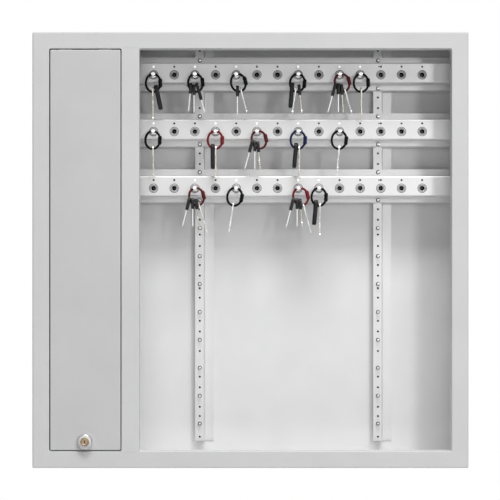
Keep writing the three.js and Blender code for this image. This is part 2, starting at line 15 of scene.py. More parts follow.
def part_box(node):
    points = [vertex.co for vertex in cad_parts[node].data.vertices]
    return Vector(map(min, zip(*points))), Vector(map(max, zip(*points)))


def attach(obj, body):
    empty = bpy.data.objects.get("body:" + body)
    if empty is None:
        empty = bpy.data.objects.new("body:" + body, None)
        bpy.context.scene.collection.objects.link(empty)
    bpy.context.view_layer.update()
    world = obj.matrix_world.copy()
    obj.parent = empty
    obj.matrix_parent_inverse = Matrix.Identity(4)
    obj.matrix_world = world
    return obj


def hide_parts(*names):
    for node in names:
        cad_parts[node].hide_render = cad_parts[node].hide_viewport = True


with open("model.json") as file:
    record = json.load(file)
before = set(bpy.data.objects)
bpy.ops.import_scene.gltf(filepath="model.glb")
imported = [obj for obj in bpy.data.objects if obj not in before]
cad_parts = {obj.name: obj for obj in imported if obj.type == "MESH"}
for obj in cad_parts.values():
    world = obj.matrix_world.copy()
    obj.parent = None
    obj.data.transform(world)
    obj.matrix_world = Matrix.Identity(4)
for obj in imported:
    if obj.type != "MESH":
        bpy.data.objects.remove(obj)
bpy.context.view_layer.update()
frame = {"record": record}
MM = 0.001
SMOOTH_ANGLE = math.radians(32)
BEVEL_ANGLE = math.radians(40)
CORNER_STEPS = 4
CURVE_STEPS = 6


# ---------- Outlines ----------

def corner_arc(before, corner, after, radius):
    """The points that round one corner of an outline."""
    u = (before - corner).normalized()
    v = (after - corner).normalized()
    half = u.angle(v) / 2
    centre = corner + (u + v).normalized() * (radius / math.sin(half))
    start = corner + u * (radius / math.tan(half)) - centre
    end = corner + v * (radius / math.tan(half)) - centre
    first = math.atan2(start.y, start.x)
    sweep = math.remainder(math.atan2(end.y, end.x) - first, 2 * math.pi)
    angles = [first + sweep * k / CORNER_STEPS for k in range(CORNER_STEPS + 1)]
    return [(centre.x + radius * math.cos(a), centre.y + radius * math.sin(a)) for a in angles]


def rounded(points, radii):
    """A closed outline with its corners rounded, by one radius or by one for each corner."""
    if not isinstance(radii, (list, tuple)):
        radii = [radii] * len(points)
    corners = [Vector(p) for p in points]
    outline = []
    for i, (corner, radius) in enumerate(zip(corners, radii)):
        if radius <= 0:
            outline.append(tuple(corner))
            continue
        after = corners[(i + 1) % len(corners)]
        outline += corner_arc(corners[i - 1], corner, after, radius)
    return outline


def rectangle(a, b, radius=0):
    """A rectangle between two ranges, with rounded corners."""
    return rounded([(a[0], b[0]), (a[1], b[0]), (a[1], b[1]), (a[0], b[1])], radius)


def circle(radius, centre=(0, 0), count=24):
    """A circle's points, from its right side on."""
    angles = [2 * math.pi * k / count for k in range(count)]
    return [(centre[0] + radius * math.cos(a), centre[1] + radius * math.sin(a)) for a in angles]


def folded(path, thick, bend):
    """The outline of a sheet that is folded along a path, which is its middle line."""
    points = [Vector(p) for p in path]
    sides = {1: [], -1: []}
    radii = {1: [], -1: []}
    for i, point in enumerate(points):
        into = (point - points[i - 1]).normalized() if i else None
        out = (points[i + 1] - point).normalized() if i + 1 < len(points) else None
        along = ((into or out) + (out or into)).normalized()
        reach = thick / 2 / along.dot(out or into)
        turn = into.cross(out) if into and out else 0
        for side in sides:
            sides[side].append(point + Vector((-along.y, along.x)) * reach * side)
            inner = turn * side > 0
            radii[side].append(0 if not turn else bend if inner else bend + thick)
    return rounded(sides[1] + sides[-1][::-1], radii[1] + radii[-1][::-1])


def rounding(at, radius, into, steps=5):
    """Layers of [height, inset] that round the end of a block; into is 1 or -1, towards the block."""
    angles = [math.pi / 2 * k / steps for k in range(steps + 1)]
    return [(at + into * radius * (1 - math.cos(a)), radius * (1 - math.sin(a))) for a in angles]


def soft_ends(low, high, radius, steps=5, middle=()):
    """Layers of a block with both ends rounded, and with more layers between them."""
    return rounding(low, radius, 1, steps) + list(middle) + rounding(high, radius, -1, steps)[::-1]


def one_soft_end(flat, at, radius, into, inset=0, steps=5):
    """Layers of a block from a flat end to a rounded one, all pulled in by an inset."""
    return [(flat, inset)] + [(h, inset + i) for h, i in rounding(at, radius, into, steps)[::-1]]


def raised(profile, height):
    """A profile of [radius, height], moved along its axis."""
    return [(radius, height + h) for radius, h in profile]


def sunk_spans(thick, depth):
    """For both faces of a plate in the middle, the range that a cut of some depth takes up."""
    return [sorted((side * (thick / 2 - depth), side * (thick / 2 + 1))) for side in (-1, 1)]


# ---------- Solids ----------

AXES = {
    "x": lambda a, b, h: (h, a, b),
    "y": lambda a, b, h: (a, h, b),
    "z": lambda a, b, h: (a, b, h),
}


class Solid:
    """A mesh under construction, in millimetres."""

    def __init__(self):
        self.mesh = bmesh.new()

    def loft(self, loops, closed=False):
        """Skins a row of loops, and caps its ends unless it is closed. A loop of one point is a tip."""
        rings = [[self.mesh.verts.new(p) for p in loop] for loop in loops]
        pairs = list(zip(rings, rings[1:]))
        if closed:
            pairs.append((rings[-1], rings[0]))
        for one, two in pairs:
            count = max(len(one), len(two))
            for i in range(count):
                j = (i + 1) % count
                corners = [one[i % len(one)], one[j % len(one)], two[j % len(two)], two[i % len(two)]]
                self.mesh.faces.new(list(dict.fromkeys(corners)))
        if not closed:
            for ring in (rings[0], rings[-1]):
                if len(ring) > 2:
                    self.mesh.faces.new(ring)
        return self

    def prism(self, outline, axis, span):
        """An outline drawn out along an axis."""
        place = AXES[axis]
        return self.loft([[place(a, b, h) for a, b in outline] for h in span])

    def box(self, x, y, z, radius=0):
        """A block between three ranges, with its four edges along Y rounded."""
        return self.prism(rectangle(x, z, radius), "y", y)

    def stack(self, axis, layers, a, b, radius):
        """A rounded rectangle drawn out along an axis, pulled in at each layer by its inset."""
        place = AXES[axis]
        loops = []
        for height, inset in layers:
            corner = max(radius - inset, 0.05)
            outline = rectangle((a[0] + inset, a[1] - inset), (b[0] + inset, b[1] - inset), corner)
            loops.append([place(p, q, height) for p, q in outline])
        return self.loft(loops)

    def turn(self, profile, centre, axis="y", count=32, closed=False):
        """A turned shape with a profile of [radius, height], from axis to axis, or a closed one."""
        place = AXES[axis]
        loops = []
        for radius, height in profile:
            ring = circle(radius, centre, count) if radius > 0 else [centre]
            loops.append([place(a, b, height) for a, b in ring])
        return self.loft(loops, closed)

    def drum(self, radius, span, centre, axis="y", edge=0.0, count=32):
        """A round bar with its edges broken."""
        low, high = span
        profile = [(0, low), (radius - edge, low), (radius, low + edge), (radius, high - edge),
                   (radius - edge, high), (0, high)]
        return self.turn(list(dict.fromkeys(profile)), centre, axis, count)

    def hoop(self, points, radius, count=12):
        """A round bar along a row of points that closes on itself."""
        points = [Vector(p) for p in points]
        side = None
        loops = []
        for i, point in enumerate(points):
            along = (points[(i + 1) % len(points)] - points[i - 1]).normalized()
            side = along.orthogonal() if side is None else side - along * side.dot(along)
            side.normalize()
            up = along.cross(side)
            turns = [2 * math.pi * k / count for k in range(count)]
            loops.append([point + radius * (side * math.cos(t) + up * math.sin(t)) for t in turns])
        return self.loft(loops, closed=True)

    def moved(self, matrix):
        """The same solid, moved by a matrix."""
        self.mesh.transform(matrix)
        return self


def object_of(solid, name):
    """A new object with a solid as its mesh."""
    bmesh.ops.recalc_face_normals(solid.mesh, faces=solid.mesh.faces)
    mesh = bpy.data.meshes.new(name)
    solid.mesh.to_mesh(mesh)
    made = bpy.data.objects.new(name, mesh)
    bpy.context.scene.collection.objects.link(made)
    return made


def bake(made):
    """Makes an object's modifiers part of its mesh."""
    graph = bpy.context.evaluated_depsgraph_get()
    mesh = bpy.data.meshes.new_from_object(made.evaluated_get(graph), depsgraph=graph)
    made.modifiers.clear()
    old = made.data
    made.data = mesh
    bpy.data.meshes.remove(old)


def carve(made, cutter, operation="DIFFERENCE"):
    """Cuts a solid out of an object, or joins it on."""
    tool = object_of(cutter, "cutter")
    boolean = made.modifiers.new("carve", "BOOLEAN")
    boolean.operation = operation
    boolean.solver = "EXACT"
    boolean.object = tool
    bake(made)
    bpy.data.objects.remove(tool)


def soften(made, width, segments=2):
    """Rounds an object's sharp edges."""
    bevel = made.modifiers.new("bevel", "BEVEL")
    bevel.width = width
    bevel.segments = segments
    bevel.angle_limit = BEVEL_ANGLE
    bake(made)


def finish(made, look, body="cabinet", replaces=(), slot=None):
    """Scales a piece to metres, shades and paints it, and fixes it to its body."""
    made.data.transform(Matrix.Scale(MM, 4))
    made.data.polygons.foreach_set("use_smooth", [True] * len(made.data.polygons))
    made.data.set_sharp_from_angle(angle=SMOOTH_ANGLE)
    made.data.materials.clear()
    made.data.materials.append(LOOK[look])
    weighted = made.modifiers.new("normals", "WEIGHTED_NORMAL")
    weighted.keep_sharp = True
    bake(made)
    made.data.name = made.name
    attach(made, body)
    if replaces:
        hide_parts(*replaces)
    slot = slot or SLOT.get(look)


def piece(solid, name, look, cutters=(), soft=0.0, segments=2, **place):
    """Finishes a piece from a solid, with what is cut from it and how far its edges are rounded."""
    made = object_of(solid, name)
    for cutter in cutters:
        carve(made, cutter)
    if soft:
        soften(made, soft, segments)
    finish(made, look, **place)


# ---------- Materials ----------

class Nodes:
    """The node tree of a new material, with short ways to add to it."""

    def __init__(self, name):
        self.material = bpy.data.materials.new(name)
        self.material.use_nodes = True
        self.tree = self.material.node_tree
        self.shader = self.tree.nodes["Principled BSDF"]
        self.place = self.add("ShaderNodeTexCoord").outputs["Object"]

    def add(self, kind, **settings):
        node = self.tree.nodes.new(kind)
        for key, value in settings.items():
            setattr(node, key, value)
        return node

    def link(self, source, target):
        self.tree.links.new(source, target)

    def noise(self, scale, detail=3.0, stretch=(1, 1, 1)):
        """Noise with its scale in waves per metre, from 0 to 1."""
        mapping = self.add("ShaderNodeMapping")
        mapping.inputs["Scale"].default_value = stretch
        self.link(self.place, mapping.inputs["Vector"])
        noise = self.add("ShaderNodeTexNoise")
        noise.inputs["Scale"].default_value = scale
        noise.inputs["Detail"].default_value = detail
        self.link(mapping.outputs["Vector"], noise.inputs["Vector"])
        return noise.outputs["Fac"]

    def spread(self, value, low, high, start=0.3, end=0.7):
        """Maps a value in start..end to low..high."""
        node = self.add("ShaderNodeMapRange")
        for name, number in zip(("From Min", "From Max", "To Min", "To Max"), (start, end, low, high)):
            node.inputs[name].default_value = number
        self.link(value, node.inputs["Value"])
        return node.outputs["Result"]

    def mix(self, factor, one, two):
        """A colour between two colours."""
        node = self.add("ShaderNodeMix", data_type="RGBA")
        sockets = {s.name: s for s in node.inputs if s.enabled}
        self.link(factor, sockets["Factor"])
        sockets["A"].default_value = (*one, 1)
        sockets["B"].default_value = (*two, 1)
        return [s for s in node.outputs if s.enabled][0]

    def bump(self, height, strength, distance):
        """Adds relief on top of what relief there is."""
        node = self.add("ShaderNodeBump")
        node.inputs["Strength"].default_value = strength
        node.inputs["Distance"].default_value = distance
        self.link(height, node.inputs["Height"])
        normal = self.shader.inputs["Normal"]
        if normal.is_linked:
            self.link(normal.links[0].from_socket, node.inputs["Normal"])
        self.link(node.outputs["Normal"], normal)

    def set(self, **values):
        """Sets the shader's inputs, by their names with underscores for spaces."""
        for key, value in values.items():
            socket = self.shader.inputs[key.replace("_", " ")]
            if isinstance(value, bpy.types.NodeSocket):
                self.link(value, socket)
            elif isinstance(value, tuple):
                socket.default_value = (*value, 1)
            else:
                socket.default_value = value
        return self


def powder_coat(name, color, grain=0.25, metallic=0.0, roughness=0.5):
    """Satin powder coat: fine orange peel and a hardly visible mottle."""
    n = Nodes(name)
    dark = tuple(0.955 * c for c in color)
    mottle = n.spread(n.noise(14, 4), 0.0, 1.0)
    n.set(Base_Color=n.mix(mottle, color, dark), IOR=1.45, Metallic=metallic)
    n.set(Roughness=n.spread(n.noise(60), roughness * 0.92, roughness * 1.1))
    n.bump(n.noise(620, 2), grain, 0.00006)
    n.bump(n.noise(2600, 1), grain * 0.6, 0.00002)
    return n.material


def metal(name, color, roughness, brush=(1, 1, 1), scratch=0.15):
    """Metal with fine lines; the brush's small numbers are along the lines."""
    n = Nodes(name)
    lines = n.noise(5200, 3, brush)
    clean = n.spread(n.noise(90), 0.0, 1.0)
    dull = tuple(0.88 * c for c in color)
    n.set(Base_Color=n.mix(clean, dull, color), Metallic=1.0)
    n.set(Roughness=n.spread(lines, roughness * 0.75, roughness * 1.3))
    n.bump(lines, scratch, 0.00001)
    return n.material


def plastic(name, color, roughness, grain=0.1, shine=0.5):
    """Moulded plastic with a fine texture; shine is 0.5 for common plastic and less for a dull one."""
    n = Nodes(name)
    wear = n.spread(n.noise(240), 0.0, 1.0, 0.45, 0.75)
    worn = tuple(c * 1.15 + 0.002 for c in color)
    n.set(Base_Color=n.mix(wear, color, worn), Specular_IOR_Level=shine)
    n.set(Roughness=n.spread(n.noise(300), roughness * 0.85, roughness * 1.2), IOR=1.5)
    n.bump(n.noise(1800, 2), grain, 0.00003)
    return n.material


def solder_mask(name):
    """Green solder mask over thin copper tracks."""
    n = Nodes(name)
    tracks = n.add("ShaderNodeTexBrick", offset=0.5, squash=1.0)
    tracks.inputs["Scale"].default_value = 130
    tracks.inputs["Mortar Size"].default_value = 0.06
    for socket, shade in (("Color1", 0), ("Color2", 0), ("Mortar", 1)):
        tracks.inputs[socket].default_value = (shade, shade, shade, 1)
    turn = n.add("ShaderNodeMapping")
    turn.inputs["Rotation"].default_value = (math.pi / 2, 0, 0)
    n.link(n.place, turn.inputs["Vector"])
    n.link(turn.outputs["Vector"], tracks.inputs["Vector"])
    n.set(Base_Color=n.mix(tracks.outputs["Color"], (0.012, 0.10, 0.045), (0.03, 0.2, 0.09)))
    n.set(Roughness=0.32, Coat_Weight=0.3)
    n.bump(tracks.outputs["Color"], 0.3, 0.00004)
    return n.material


def lamp(name, color, strength):
    """A small lit diode, a little uneven over its dome."""
    n = Nodes(name)
    n.set(Base_Color=color, Emission_Color=color, Emission_Strength=strength)
    n.set(Roughness=n.spread(n.noise(400), 0.2, 0.35))
    return n.material


ALONG_Z = (1, 1, 0.05)
# The visible materials.
LOOK = {
    "case_paint": powder_coat("case_paint", (0.66, 0.66, 0.665)),
    "cover_paint": powder_coat("cover_paint", (0.60, 0.60, 0.605)),
    # Painted light: the tray is case paint, drawn brighter than the frame for the light that the inside
    # gets.
    "tray": powder_coat("case_paint_lit_brighter", (0.80, 0.80, 0.805)),
    "strip_paint": powder_coat("strip_paint", (0.84, 0.84, 0.84), 0.12, metallic=0.5, roughness=0.42),
    "bezel": plastic("socket_bezel", (0.78, 0.78, 0.78), 0.35),
    # Near black: the socket tubes, and the rails' hole caps and pin collars, where it is painted shade.
    "bore": plastic("socket_bore", (0.006, 0.006, 0.007), 0.6, shine=0.2),
    # Painted shade: the contacts are nickel, drawn near black for the shade deep in the sockets.
    "contact": metal("contact_pin_darkened_as_shade", (0.10, 0.10, 0.095), 0.45),
    "lamp_on": lamp("lamp_on", (1.0, 1.0, 0.98), 0.7),
    "lamp_off": plastic("lamp_off", (0.006, 0.006, 0.007), 0.4, shine=0.3),
    "peg_nickel": metal("bright_nickel", (0.95, 0.95, 0.95), 0.2),
    "nickel": metal("satin_nickel", (0.86, 0.85, 0.84), 0.26),
    "zinc": metal("zinc_plate", (0.66, 0.68, 0.70), 0.38),
    "brass": metal("brass", (0.66, 0.47, 0.30), 0.34, scratch=0.4),
    "steel": metal("key_steel", (0.90, 0.90, 0.89), 0.28, ALONG_Z, 0.3),
    "key_brass": metal("key_brass", (0.84, 0.80, 0.72), 0.3, ALONG_Z, 0.3),
    "cap": plastic("key_cap_plastic", (0.010, 0.010, 0.011), 0.38, 0.2, shine=0.4),
    "fob": plastic("fob_plastic", (0.010, 0.010, 0.012), 0.45, 0.3, shine=0.35),
    "ring_black": plastic("ring_black", (0.004, 0.004, 0.005), 0.4, shine=0.15),
    "ring_dark_red": plastic("ring_dark_red", (0.10, 0.006, 0.010), 0.35, shine=0.25),
    "ring_red": plastic("ring_red", (0.19, 0.008, 0.012), 0.35, shine=0.25),
    "ring_blue": plastic("ring_blue", (0.010, 0.012, 0.06), 0.35, shine=0.25),
    "circuit_board": solder_mask("solder_mask"),
    "black_plastic": plastic("black_plastic", (0.018, 0.018, 0.02), 0.5, 0.25),
    "white_plastic": plastic("white_plastic", (0.55, 0.55, 0.52), 0.5, 0.2),
    "green_plastic": plastic("green_plastic", (0.03, 0.16, 0.06), 0.45, 0.2),
    "black_rubber": plastic("rubber", (0.014, 0.014, 0.014), 0.7, 0.3),
    "aluminium": metal("aluminium", (0.74, 0.75, 0.76), 0.4, (1, 1, 0.03)),
    "ribbon_cable": plastic("ribbon_cable", (0.36, 0.38, 0.40), 0.5),
}
# The part's own material slot for each look that has one: most have the slot's name.
SLOT = {material["slot"]: material["slot"] for material in frame["record"]["materials"]}
# The tray is the case paint drawn brighter, as painted light; the contact is nickel drawn near black, as
# painted shade.
SLOT.update(tray="case_paint", contact="nickel")


# ---------- Sizes, most of them from the frame ----------

def box_mm(node):
    low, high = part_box(node)
    return low / MM, high / MM


def middle_mm(node):
    low, high = box_mm(node)
    return (low + high) / 2


FRAME_LOW, FRAME_HIGH = box_mm("front_frame")
COVER_LOW, COVER_HIGH = box_mm("compartment_cover")
FRONT = FRAME_LOW.y
LIP_BACK = FRAME_HIGH.y
CASE_X = (FRAME_LOW.x, FRAME_HIGH.x)
CASE_Z = (FRAME_LOW.z, FRAME_HIGH.z)
SHEET = 1.5
GAP = 0.3
BORDER = 28
MULLION = (-216, -186)
OPEN_X = CASE_X[1] - BORDER
OPEN_Z = CASE_Z[1] - BORDER
OPENINGS = [(-OPEN_X, MULLION[0]), (MULLION[1], OPEN_X)]
OUTER_BEND = 2.5
LIP_BEND = 1.3
INNER_BEND = 1.0
CORNER = 3
CABLE_HOLE = 13
SKIRT = 12
HOOK_XS = (-310, -243)
# Radii of a keyhole's head and neck, how far the slot rises, and the height of the locking screw.
KEYHOLE = {"x": 290, "z": 318, "head": 6, "neck": 2.8, "rise": 12, "low": -300}

STRIPS = range(1, 4)
STRIP_Z = {strip: middle_mm(f"strip_housing_{strip}").z for strip in STRIPS}
PEGS = [f"{i:02d}" for i in range(1, 16)]
PIN_COUNT = 14
PIN_PITCH = (STRIP_Z[1] - STRIP_Z[2]) / 2
FIRST_PIN_Z = STRIP_Z[1] + PIN_PITCH / 2
SOCKET_BELOW = 5.1
LAMP_ABOVE = 14.0
LAMP_HOLE = 1.75
PINHOLE_SLOT = 11
PINHOLE_LEFT = 3.3
PINHOLE_ABOVE = 8.9
PINHOLE_RADIUS = 1.2
FACE_ABOVE = 15.7
FACE_BELOW = 18.8
KICK_HEIGHT = 2.2
KICK_OUT = 0.9
SOCKET_HOLE = 7.9
PIN_CLEARANCE = 3.6
BORE_RADIUS = 4.1
BORE_DEPTH = 19
BOARD_DEPTH = 23.3

PEG_REACH = 17
EYE_FROM_TIP = 5.3
EYE_RADIUS = 3.1
HALF_TONGUE = 2.2
RING_HALF_WIDTH = 12.5
RING_HALF_HEIGHT = 15.3
WIRE_RADIUS = 1.95
SLEEVE_RADIUS = 3.4
SLEEVE_LENGTH = 15


# ---------- Case ----------

def front_frame():
    """The folded front frame: face, outer skirt, mullion, and a return lip round each opening."""
    layers = one_soft_end(FRONT + SKIRT, FRONT, OUTER_BEND, 1)
    made = object_of(Solid().stack("y", layers, CASE_X, CASE_Z, OUTER_BEND), "front_frame_folded")
    hollow = one_soft_end(FRONT + SKIRT + 1, FRONT + SHEET, INNER_BEND, 1, SHEET)
    carve(made, Solid().stack("y", hollow, CASE_X, CASE_Z, OUTER_BEND))
    for x0, x1 in OPENINGS:
        around = rectangle((x0 - SHEET, x1 + SHEET), (-OPEN_Z - SHEET, OPEN_Z + SHEET), CORNER + SHEET)
        carve(made, Solid().prism(around, "y", (FRONT + SHEET / 2, LIP_BACK)), "UNION")
    for x0, x1 in OPENINGS:
        flare = [(y, -inset) for y, inset in rounding(FRONT, LIP_BEND, 1)[::-1]]
        layers = [(LIP_BACK + 1, 0)] + flare + [(FRONT - 2, -LIP_BEND)]
        carve(made, Solid().stack("y", layers, (x0, x1), (-OPEN_Z, OPEN_Z), CORNER))
    slots = Solid()
    for x in HOOK_XS:
        slots.box((x - 11, x + 11), (FRONT + SHEET + GAP, LIP_BACK + 1), (OPEN_Z - 1, OPEN_Z + SHEET + 1))
    carve(made, slots)
    seams = Solid()
    for z in (-OPEN_Z - 1.2, OPEN_Z + 1.2):
        seams.box((MULLION[0] + 2, MULLION[1] - 2), (FRONT - 1, FRONT + 0.3), (z - 0.25, z + 0.25))
    carve(made, seams)
    finish(made, "case_paint", replaces=["front_frame"])


def keyhole(x):
    """A round head with a narrow slot above it."""
    head, neck, z = KEYHOLE["head"], KEYHOLE["neck"], KEYHOLE["z"]
    half = math.asin(neck / head)
    around = [math.pi / 2 + half + (2 * math.pi - 2 * half) * k / 20 for k in range(21)]
    outline = [(x + head * math.cos(a), z + head * math.sin(a)) for a in around]
    top = z + KEYHOLE["rise"] - neck
    over = [math.pi * k / 8 for k in range(9)]
    return outline + [(x + neck * math.cos(a), top + neck * math.sin(a)) for a in over]


def case_tray():
    """The folded tray behind the frame, with its wall fixings and the cable hole."""
    front = FRONT + SKIRT + GAP
    layers = one_soft_end(front, 0, OUTER_BEND, -1)
    made = object_of(Solid().stack("y", layers, CASE_X, CASE_Z, OUTER_BEND), "case_tray")
    hollow = one_soft_end(front - 1, -SHEET, INNER_BEND, -1, SHEET)
    carve(made, Solid().stack("y", hollow, CASE_X, CASE_Z, OUTER_BEND))
    through = (-4, 4)
    holes = Solid()
    for x in (-KEYHOLE["x"], KEYHOLE["x"]):
        holes.prism(keyhole(x), "y", through)
    holes.prism(circle(KEYHOLE["neck"], (-KEYHOLE["x"], KEYHOLE["low"])), "y", through)
    cable = middle_mm("cable_grommet")
    holes.prism(circle(CABLE_HOLE, (cable.x, cable.z), 40), "y", through)
    carve(made, holes)
    # The tray's look is the case paint drawn brighter, as painted light.
    finish(made, "tray", replaces=["cabinet_shell"])


def partition():
    """The wall between the compartment and the key bay, folded along its back edge."""
    low, high = box_mm("partition")
    x = high.x - SHEET / 2
    back = high.y - SHEET / 2
    outline = folded([(x, low.y), (x, back), (low.x, back)], SHEET, 1.0)
    window = Solid().prism(rectangle((-42, -20), (285, 307), 3), "x", (low.x - 1, high.x + 1))
    solid = Solid().prism(outline, "z", (low.z, high.z))
    piece(solid, "partition_folded", "case_paint", [window], replaces=["partition"])


def grommet():
    """The rubber lining of the cable hole."""
    middle = middle_mm("cable_grommet")
    profile = [(8, -4.1), (8.3, -4.3), (14.5, -4.3), (16, -3.4), (16, -1.9), (12.6, -1.9), (12.6, -0.2),
               (8.6, -0.2), (8, -0.8)]
    solid = Solid().turn(profile, (middle.x, middle.z), count=48, closed=True)
    piece(solid, "cable_grommet_ring", "black_rubber", replaces=["cable_grommet"])


# ---------- Rails ----------

RAIL_HALF_FACE = 8.1
TRIM_HOLE = 1.8
# Where the small holes are below a pin, in shares of the pin pitch: under each second pin, and under
# the pins between two of those.
BAY_HOLES = [0.32, 0.7]
MID_HOLES = {6: [0.23, 0.64], 8: [0.15, 0.49], 10: [0.4], 12: [0.4, 0.73]}
ABOVE_FIRST_PIN = 0.35
BELOW_LAST_PIN = 0.47


def trim_hole_heights():
    """Heights of a rail's small holes, given by the pin above and a share of the pin pitch."""
    shares = [-ABOVE_FIRST_PIN, PIN_COUNT - 1 + BELOW_LAST_PIN]
    for pin in range(1, PIN_COUNT - 1, 2):
        shares += [pin + share for share in BAY_HOLES]
    for pin, more in MID_HOLES.items():
        shares += [pin + share for share in more]
    return [FIRST_PIN_Z - share * PIN_PITCH for share in shares]


def rail(side):
    """A Z-section rail with small holes, each with a black cap behind it as painted shade, and a row of
    riveted pins whose collars are black as painted shade.
    """
    node = f"rail_{side}"
    low, high = box_mm(node)
    x = low.x + RAIL_HALF_FACE
    face = low.y + 6
    mid_face, mid_back = face + SHEET / 2, high.y - SHEET / 2
    bend_x = x + RAIL_HALF_FACE - SHEET / 2
    path = [(low.x, mid_face), (bend_x, mid_face), (bend_x, mid_back), (high.x, mid_back)]
    holes, caps = Solid(), Solid()
    # Painted shade: a black cap behind each small hole makes it read dark, as the shade in a hole would.
    cap = [(0, 5.2), (1.9, 5.2), (1.9, SHEET + 0.1), (3, SHEET + 0.1), (3, 6), (0, 6)]
    for z in trim_hole_heights():
        holes.drum(TRIM_HOLE, (face - 1, face + SHEET + 1), (x, z), count=20)
        caps.turn(raised(cap, face), (x, z), count=20)
    piece(caps, f"{node}_hole_shade_caps", "bore")
    bar = Solid().prism(folded(path, SHEET, 1.0), "z", (low.z, high.z))
    # Painted light: the rail is case-painted, but drawn in the strips' brighter paint for the light that it
    # catches.
    piece(bar, f"{node}_bar", "strip_paint", [holes], replaces=[node], slot="case_paint")
    pins, collars = Solid(), Solid()
    profile = [(0, -6), (1.8, -6), (2.3, -5.8), (2.5, -5.2), (2.5, -4.2), (2.2, -3.8), (2.2, 0.1), (0, 0.1)]
    # Painted shade: the collars are black for the shaded gap round each pin's foot.
    collar = [(2.3, -0.9), (3.2, -0.9), (3.4, -0.7), (3.4, -0.02), (2.3, -0.02)]
    for k in range(PIN_COUNT):
        place = (x, FIRST_PIN_Z - k * PIN_PITCH)
        pins.turn(raised(profile, face), place, count=24)
        collars.turn(raised(collar, face), place, count=24, closed=True)
    piece(pins, f"{node}_pins", "nickel")
    piece(collars, f"{node}_pin_collars_painted_shade", "bore")


# ---------- Key strips ----------

def slots_of(strip):
    """A strip's sockets from left to right, as (x, z, whether a peg is in it)."""
    z = STRIP_Z[strip] - SOCKET_BELOW
    found = []
    for opening in frame["record"]["physics"]["openings"]:
        if opening["name"].startswith(f"socket_{strip}_"):
            low, high = opening["box_m"]
            found.append(((low[0] + high[0]) / 2 / MM, z, False))
    for number in PEGS:
        middle = middle_mm(f"key_peg_{number}")
        if abs(middle.z - z) < 1:
            found.append((middle.x, z, True))
    return sorted(found)


def strip_housing(strip, slots):
    """The hat-section housing with its holes for sockets, lamps and rail pins."""
    node = f"strip_housing_{strip}"
    low, high = box_mm(node)
    z = STRIP_Z[strip]
    half = SHEET / 2
    top, bottom = z + FACE_ABOVE - half, z - FACE_BELOW + half
    back, front = high.y - half, low.y + half
    path = [(back, high.z), (back, top), (front, top), (front, bottom), (back, bottom),
            (back, low.z + KICK_HEIGHT), (back - KICK_OUT, low.z)]
    solid = Solid().prism(folded(path, SHEET, 0.8), "x", (low.x, high.x))
    holes = Solid()
    through = (low.y - 1, low.y + SHEET + 1)
    for x, socket_z, _ in slots:
        holes.drum(SOCKET_HOLE, through, (x, socket_z), count=40)
        holes.drum(LAMP_HOLE, through, (x, socket_z + LAMP_ABOVE), count=20)
    beside = slots[PINHOLE_SLOT][0] - PINHOLE_LEFT
    holes.drum(PINHOLE_RADIUS, through, (beside, z + PINHOLE_ABOVE), count=16)
    for side in ("left", "right"):
        rail_x = box_mm(f"rail_{side}")[0].x + RAIL_HALF_FACE
        for pin_z in (z - PIN_PITCH / 2, z + PIN_PITCH / 2):
            holes.drum(PIN_CLEARANCE, (high.y - SHEET - 1, high.y + 1), (rail_x, pin_z), count=28)
    piece(solid, f"strip_{strip}_housing", "strip_paint", [holes], replaces=[node])


MODULE_LOOKS = {
    "bezels": "bezel",
    "socket_tubes": "bore",
    "contacts": "contact",
    "lamps_lit": "lamp_on",
    "lamps_dark": "lamp_off",
    "magnet_plates": "zinc",
    "magnet_coils": "brass",
}


def strip_insides(strip, slots):
    """A strip's sockets, contacts, lamps, circuit board and locking magnets."""
    node = f"lock_module_{strip}"
    low, high = box_mm(node)
    face = box_mm(f"strip_housing_{strip}")[0].y
    board = low.y + BOARD_DEPTH
    end = face + BORE_DEPTH
    parts = {part: Solid() for part in MODULE_LOOKS}
    outer = [(7.0, 0.2), (6.8, -0.1), (6.6, -0.25), (6.1, -0.25), (5.9, -0.1), (5.9, 1.8), (7.0, 1.8)]
    inner = [(5.0, 0.1), (4.9, -0.1), (4.5, -0.1), (4.15, 0.2), (BORE_RADIUS, 0.6), (BORE_RADIUS, 1.8),
             (5.0, 1.8)]
    wall = [(0, end), (BORE_RADIUS, end), (BORE_RADIUS, face + 1.9), (8.8, face + 1.9), (8.8, face + 3.5),
            (7.4, face + 4), (7.4, board - 0.1), (0, board - 0.1)]
    for x, z, taken in slots:
        for bezel in (outer, inner):
            parts["bezels"].turn(raised(bezel, face), (x, z), count=40, closed=True)
        parts["socket_tubes"].turn(wall, (x, z), count=32)
        tip = face + (18.5 if taken else 4.5)
        # The contact is drawn in the dark look, painted shade at the bottom of the socket.
        contact = [(0, tip), (1.3, tip), (1.8, tip + 0.6), (1.8, end + 0.5), (0, end + 0.5)]
        parts["contacts"].turn(contact, (x, z), count=20)
        top, radius = (face + 0.1, 1.55) if taken else (face + 2.4, 1.2)
        dome = [(0, top), (radius - 0.5, top + 0.15), (radius, top + 0.7), (radius, board), (0, board)]
        lamps = parts["lamps_lit" if taken else "lamps_dark"]
        lamps.turn(dome, (x, z + LAMP_ABOVE), count=16)
        back = board + SHEET + 0.1
        for plate in ((back, back + 2), (back + 11, back + 12.9)):
            layers = soft_ends(*plate, 0.3, 2)
            parts["magnet_plates"].stack("y", layers, (x - 6, x + 6), (z - 7, z + 7), 1)
        parts["magnet_coils"].drum(5.4, (back + 1.9, back + 11.1), (x, z), edge=0.3, count=28)
    for part, look in MODULE_LOOKS.items():
        replaces = [node] if part == "bezels" else ()
        piece(parts[part], f"strip_{strip}_{part}", look, replaces=replaces)
    laminate = Solid().box((low.x, high.x), (board, board + 1.6), (low.z, high.z - 0.5), 2)
    piece(laminate, f"strip_{strip}_board", "circuit_board", soft=0.15, segments=1)


# ---------- Pegs, rings and keys ----------

